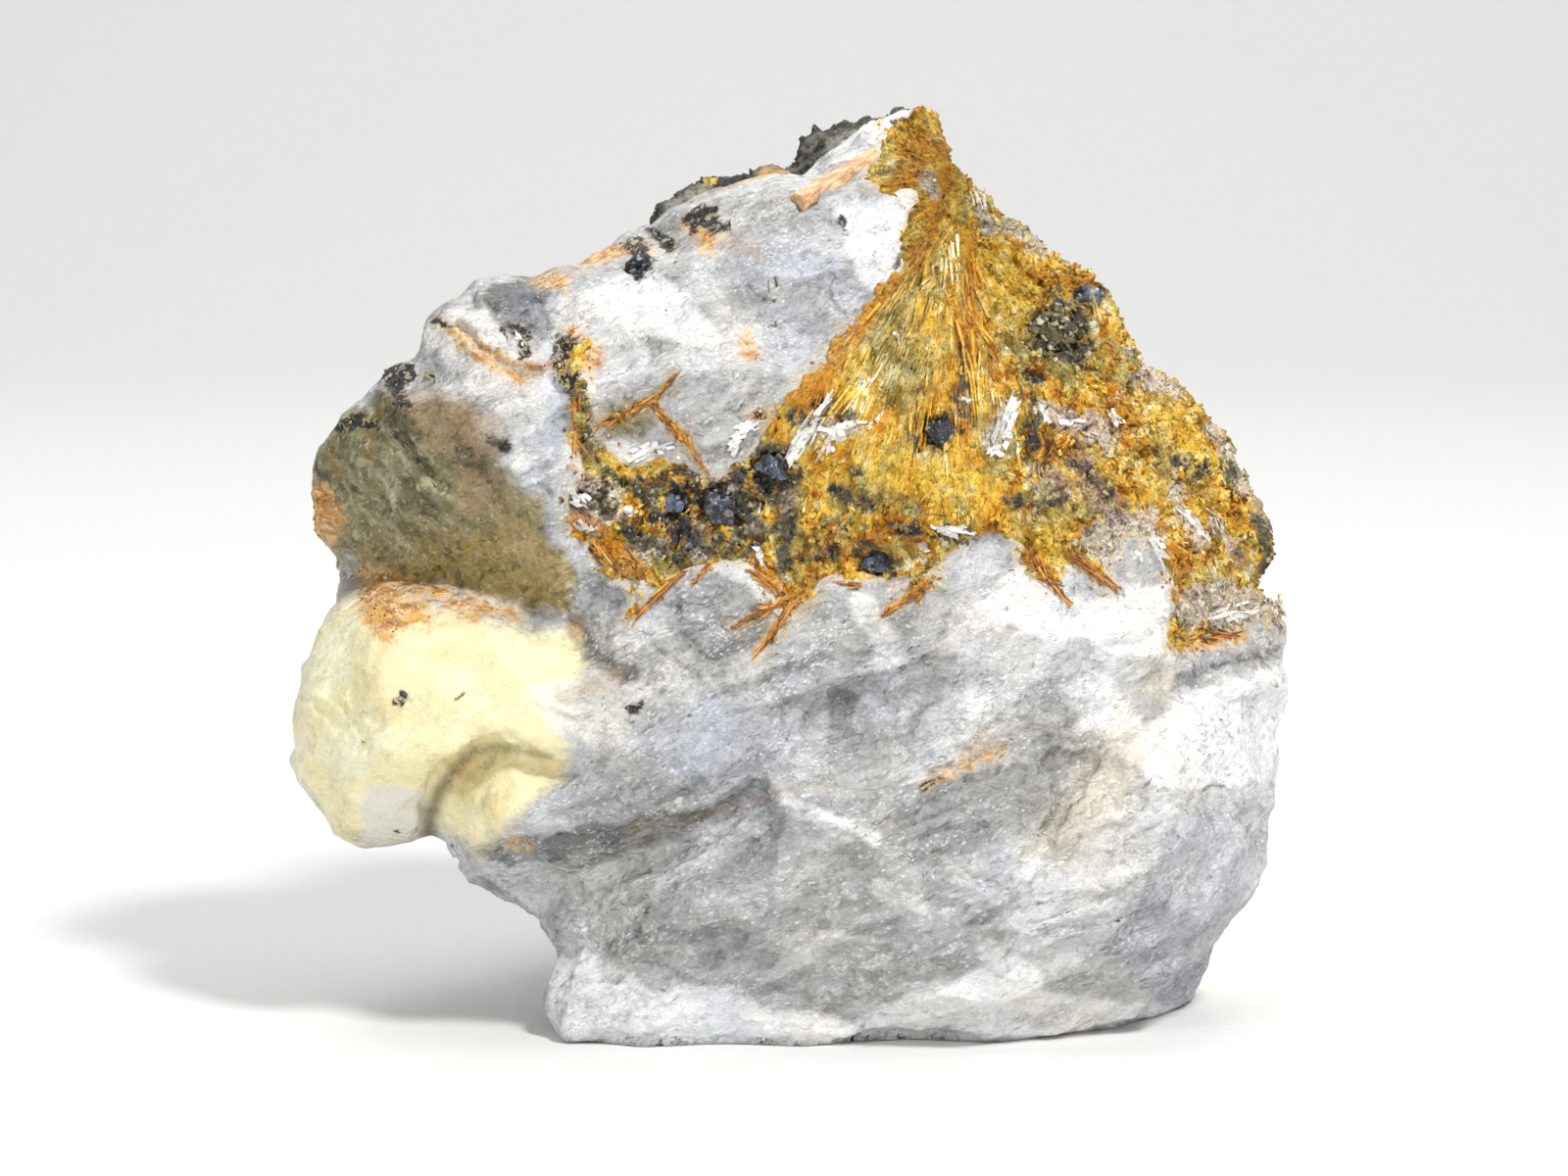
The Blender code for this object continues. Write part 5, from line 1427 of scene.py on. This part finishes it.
def ardennite_material(name, on_blades=False):
    """Ochre fibres and grains, yellow to rust, under olive, pale, violet and dark patches, cracks and painted
    glints.
    """
    n = Nodes(name)
    along = n.field("fan", "Vector")
    fibrous = n.rise(n.part(along, "X"), *FIBROUS_TURN) * n.rise(n.part(along, "Y"), *FIBROUS_DISTANCE)
    broad, fibre, hair = (
        n.noise(1.0, 3, n.stretched(size, source=along))
        for size in ((0.11, 0.33, 0.12), (0.024, 0.22, 0.04), (0.0075, 0.12, 0.0125))
    )
    speck, mottle, blotch, spread = n.noise(2300), n.noise(750), n.noise(280), n.noise(110)
    bent = n.warped(900, 0.0009)
    tone = (n.cells(1000, source=bent) - 0.5) * 0.8 * (1.0 - fibrous * 0.7) + 0.57
    for value, share in (
        (fibre, 0.9), (blotch, 0.9), (mottle, 0.6), (spread, 0.5), (hair, fibrous * 0.9 + 0.1),
    ):
        tone = tone + (value - 0.5) * share
    if on_blades:
        tone = tone + (n.field("tone") - 0.5) * 0.6
    colour = n.ramp(
        tone, (0.06, (0.10, 0.04, 0.01)), (0.20, (0.42, 0.15, 0.012)), (0.34, (0.68, 0.29, 0.018)),
        (0.46, (0.80, 0.42, 0.03)), (0.58, (0.86, 0.54, 0.065)), (0.71, (0.90, 0.65, 0.15)),
        (0.85, (0.92, 0.75, 0.30)), (0.97, (0.95, 0.89, 0.66)),
    )
    olive = n.mix(n.rise(mottle, 0.4, 0.6), (0.22, 0.18, 0.05), (0.52, 0.44, 0.17))
    pale = n.mix(n.rise(speck, 0.4, 0.6), (0.46, 0.40, 0.36), (0.86, 0.83, 0.80))
    violet = n.mix(n.rise(speck, 0.4, 0.6), (0.14, 0.105, 0.115), (0.48, 0.38, 0.38))
    rust = n.mix(n.rise(hair, 0.45, 0.6), (0.70, 0.28, 0.015), (0.38, 0.12, 0.008))
    murk = n.mix(n.rise(blotch, 0.4, 0.6), (0.055, 0.055, 0.055), (0.13, 0.115, 0.07))
    shadow = n.blots(360, 0.55, 0.66) * n.rise(spread, 0.46, 0.56)
    crack = n.rise(n.cells(620, "Distance", bent, "DISTANCE_TO_EDGE"), 0.07, 0.0)
    crack = crack * n.blots(420, 0.50, 0.60) * (0.8 - fibrous * 0.5)
    grain = 550
    colour = n.coated(
        colour, (n.rise(broad, 0.50, 0.62) * 0.55, olive), (shadow * 0.6, (0.19, 0.13, 0.05)),
        (n.patch("yellow", 10, 12, grain) * 0.4, (0.88, 0.60, 0.07)),
        (n.patch("olive", 8, 18, grain) * 0.7, olive),
        (n.patch("pale", 4, 18, grain) * 0.7, pale), (n.patch("violet", 5, 20, grain) * 0.6, violet),
        (n.patch("rust", 5, 16, grain) * 0.7, rust), (n.rise(hair, 0.60, 0.72) * 0.45, (0.16, 0.07, 0.012)),
        (crack, (0.05, 0.03, 0.012)), (n.patch("dark", 6, 22, grain) * n.rise(mottle, 0.38, 0.54), murk),
        (n.rise(speck, 0.62, 0.69) * 0.6, (0.05, 0.035, 0.015)),
        # painted glints: tiny white specks
        (n.blots(2900, 0.70, 0.75) * 0.8, (0.96, 0.94, 0.88)),
    )
    normal = n.facets(1500, 0.9, n.bump(hair, 0.0003, n.bump(fibre, 0.0005)))
    return n.finish(colour, speck * 0.4 + 0.28, n.bump(speck, 0.0002, normal), Specular_IOR_Level=0.3)


def wall_rock_material():
    """Dark layered schist with pale, tan and yellow patches."""
    n = Nodes("wall_rock_schist")
    layers = n.noise(1.0, 4, n.stretched((0.004, 0.003, 0.0007), (0, math.radians(-28), 0)))
    speck, mottle = n.noise(2000, 4), n.noise(480, 4)
    colour = n.coated(
        (0.035, 0.035, 0.032), (n.rise(layers, 0.35, 0.65), (0.15, 0.14, 0.11)),
        (n.rise(mottle, 0.5, 0.68) * 0.6, (0.10, 0.085, 0.05)),
        (n.patch("dark", 4, 10, 600), (0.025, 0.027, 0.028)),
        (n.patch("pale", 4, 10, 900) * 0.7, (0.34, 0.33, 0.26)),
        (n.patch("tan", 3, 8, 700), (0.50, 0.32, 0.13)),
        (n.patch("yellow", 1.5, 4, 1500), (0.72, 0.52, 0.09)),
        (n.rise(speck, 0.64, 0.72), (0.36, 0.34, 0.28)),
    )
    normal = n.facets(900, 0.7, n.bump(layers, 0.0006))
    return n.finish(colour, mottle * 0.4 + 0.5, n.bump(speck, 0.0004, normal))


def hematite_material():
    n = Nodes("hematite_crystals")
    mottle, fine = n.noise(900, 4), n.noise(3800, 3)
    colour = n.ramp(
        n.field("tone") + (mottle - 0.5) * 0.8, (0.1, (0.025, 0.026, 0.03)), (0.4, (0.08, 0.09, 0.12)),
        (0.65, (0.16, 0.19, 0.28)), (0.8, (0.20, 0.20, 0.17)), (1.0, (0.50, 0.50, 0.48)),
    )
    colour = n.coated(
        # the light grey flecks are painted glints
        colour, (n.rise(fine, 0.6, 0.7) * 0.6, (0.55, 0.56, 0.60)),
        (n.rise(n.noise(1300, 3), 0.60, 0.68) * 0.6, (0.38, 0.22, 0.07)),
    )
    normal = n.facets(1800, 0.9, n.bump(fine, 0.00012))
    return n.finish(colour, mottle * 0.3 + 0.14, normal, Metallic=0.35)


def dark_ore_material():
    n = Nodes("dark_ore")
    mottle, fine = n.noise(700, 4), n.noise(2600, 3)
    colour = n.ramp(
        n.field("tone") + (mottle - 0.5) * 1.2, (0.1, (0.03, 0.03, 0.026)), (0.4, (0.11, 0.105, 0.075)),
        (0.65, (0.22, 0.19, 0.11)), (0.85, (0.42, 0.34, 0.17)), (1.0, (0.62, 0.54, 0.38)),
    )
    colour = n.mix(n.rise(fine, 0.6, 0.68) * 0.6, colour, (0.42, 0.40, 0.35))
    return n.finish(colour, mottle * 0.4 + 0.3, n.facets(2200, 0.8, n.bump(fine, 0.0002)))


def rusty_material():
    n = Nodes("rusty_grains")
    mottle = n.noise(1500, 4)
    tone = n.field("tone") + (mottle - 0.5) * 0.8
    colour = n.ramp(
        tone, (0.0, DARK_RUST), (0.25, RUST), (0.5, ORANGE), (0.75, PEACH), (1.0, (0.88, 0.78, 0.55))
    )
    return n.finish(colour, mottle * 0.4 + 0.4, n.bump(mottle, 0.0002))


def white_lath_material():
    n = Nodes("white_mica")
    fine = n.noise(3200, 3)
    colour = n.mix(n.field("tone"), (0.70, 0.68, 0.64), (0.95, 0.95, 0.93))
    colour = n.mix(n.rise(fine, 0.58, 0.7) * 0.7, colour, (0.22, 0.18, 0.13))
    return n.finish(colour, fine * 0.3 + 0.12, n.bump(fine, 0.0001), Coat_Weight=0.4)


def prism_material():
    n = Nodes("pink_crystal")
    grooves = n.noise(1.0, 3, n.stretched((0.004, 0.001, 0.0005), (0, math.radians(-30), 0)))
    mottle = n.noise(1200, 4)
    colour = n.mix(n.rise(grooves, 0.35, 0.65), (0.60, 0.33, 0.17), (0.86, 0.60, 0.38))
    colour = n.mix(n.rise(mottle, 0.6, 0.72) * 0.7, colour, (0.30, 0.18, 0.10))
    normal = n.bump(grooves, 0.0005)
    return n.finish(colour, mottle * 0.3 + 0.4, normal, Subsurface_Weight=0.15, Subsurface_Scale=0.001)


# ---- Stage ----
FLOOR_HALF_WIDTH, FLOOR_FRONT = 2.5, -2.5
BEND_START, BEND_RADIUS, BEND_STEPS, WALL_TOP = 0.6, 0.5, 24, 2.0
FLOOR_TOP = -0.0001  # just under the specimen's base


def floor():
    """A sheet of pale paper that lies flat and bends up far behind the specimen."""
    profile = [(FLOOR_FRONT, 0.0), (BEND_START, 0.0)]
    for i in range(1, BEND_STEPS + 1):
        turn = math.pi / 2 * i / BEND_STEPS
        profile.append((BEND_START + BEND_RADIUS * math.sin(turn), BEND_RADIUS * (1 - math.cos(turn))))
    profile.append((BEND_START + BEND_RADIUS, WALL_TOP))
    points = [(side * FLOOR_HALF_WIDTH, y, z + FLOOR_TOP) for y, z in profile for side in (-1, 1)]
    faces = [(2 * i, 2 * i + 1, 2 * i + 3, 2 * i + 2) for i in range(len(profile) - 1)]
    obj = shown("floor", Surface(points, faces))
    n = Nodes("floor_paper")
    grain = n.noise(900, 1)
    paper = n.mix(grain, (0.80, 0.80, 0.79), (0.84, 0.84, 0.83))
    obj.data.materials.append(n.finish(paper, 0.8, n.bump(grain, 0.0001)))


def lamp(name, place, size, power, colour=(1, 1, 1), target=(0, 0, 0.04)):
    """A soft lamp that faces the specimen, or another target."""
    light = bpy.data.lights.new(name, "AREA")
    light.size = size
    light.energy = power
    light.color = colour
    obj = in_scene(name, light)
    obj.location = place
    obj.rotation_mode = "QUATERNION"
    obj.rotation_quaternion = (Vector(target) - Vector(place)).to_track_quat("-Z", "Y")


def lights():
    lamp("key", (0.30, -0.33, 0.60), 0.12, 4.3, (1.0, 0.985, 0.96))
    lamp("side", (-0.45, -0.5, 0.42), 0.22, 1.4, (0.95, 0.97, 1.0))
    lamp("front", (0.1, -0.7, 0.16), 0.3, 1.0)
    lamp("top", (-0.1, 0.35, 0.6), 0.4, 0.8)
    lamp("wall", (0, 0.3, 1.1), 1.2, 9.0, target=(0, 1.1, 0.2))
    world = bpy.data.worlds.new("studio")
    world.use_nodes = True
    background = world.node_tree.nodes["Background"]
    background.inputs["Color"].default_value = (0.86, 0.87, 0.88, 1)
    background.inputs["Strength"].default_value = 0.08
    scene = bpy.context.scene
    scene.world = world
    scene.view_settings.view_transform = "Standard"


def camera():
    data = bpy.data.cameras.new("camera")
    data.sensor_width = SENSOR
    data.lens = SENSOR * CAMERA_DISTANCE / (2 * MIDDLE_COLUMN * SQUARE)
    data.clip_start = 0.01
    obj = in_scene("camera", data)
    matrix = Matrix((Vector((1, 0, 0)), Vector(UPWARD), -Vector(FORWARD))).transposed().to_4x4()
    matrix.translation = Vector(EYE)
    obj.matrix_world = matrix
    bpy.context.scene.camera = obj


def dress(obj, material):
    """Gives a piece its material and puts it under the root body, so that it moves with the specimen."""
    obj.data.materials.clear()
    obj.data.materials.append(material)
    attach(obj, "root")


def main():
    skin = make_skin()
    quartz, rock, rock_fields = quartz_rock(skin)
    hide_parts("quartz_matrix")
    dress(quartz, quartz_material())

    ardennite, outer, fields = crust(
        "ardennite_crust", skin, ardennite_reach, ardennite_relief, MOST_ARDENNITE, ARDENNITE_PAINT,
        ARDENNITE_ELSEWHERE,
    )
    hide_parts("ardennite_mass")
    dress(ardennite, ardennite_material("ardennite_fibres"))

    wall_rock, _, _ = crust(
        "wall_rock_crust", skin, wall_rock_reach, schist_relief, MOST_WALL_ROCK, WALL_ROCK_PAINT,
        WALL_ROCK_ELSEWHERE, WALL_ROCK_FADE,
    )
    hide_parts("wall_rock")
    dress(wall_rock, wall_rock_material())

    on_blades = ardennite_material("ardennite_blades", on_blades=True)
    dress(ardennite_blades(outer, fields), on_blades)
    tree, rusty = tree_of(rock, outer), rusty_material()
    dress(white_laths(tree), white_lath_material())
    dress(rusty_sprays(tree), rusty)
    hematite, dark_ore = hematite_material(), dark_ore_material()
    dress(dark_grains(tree, rock, rock_fields, outer, fields), dark_ore)
    dress(rusty_grains(rock, rock_fields), rusty)
    dress(pink_prism(), prism_material())
    for number in range(1, 9):
        dress(hematite_grain(number), dark_ore if number == CROWDED else hematite)

    floor()
    lights()
    camera()
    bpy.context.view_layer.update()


main()
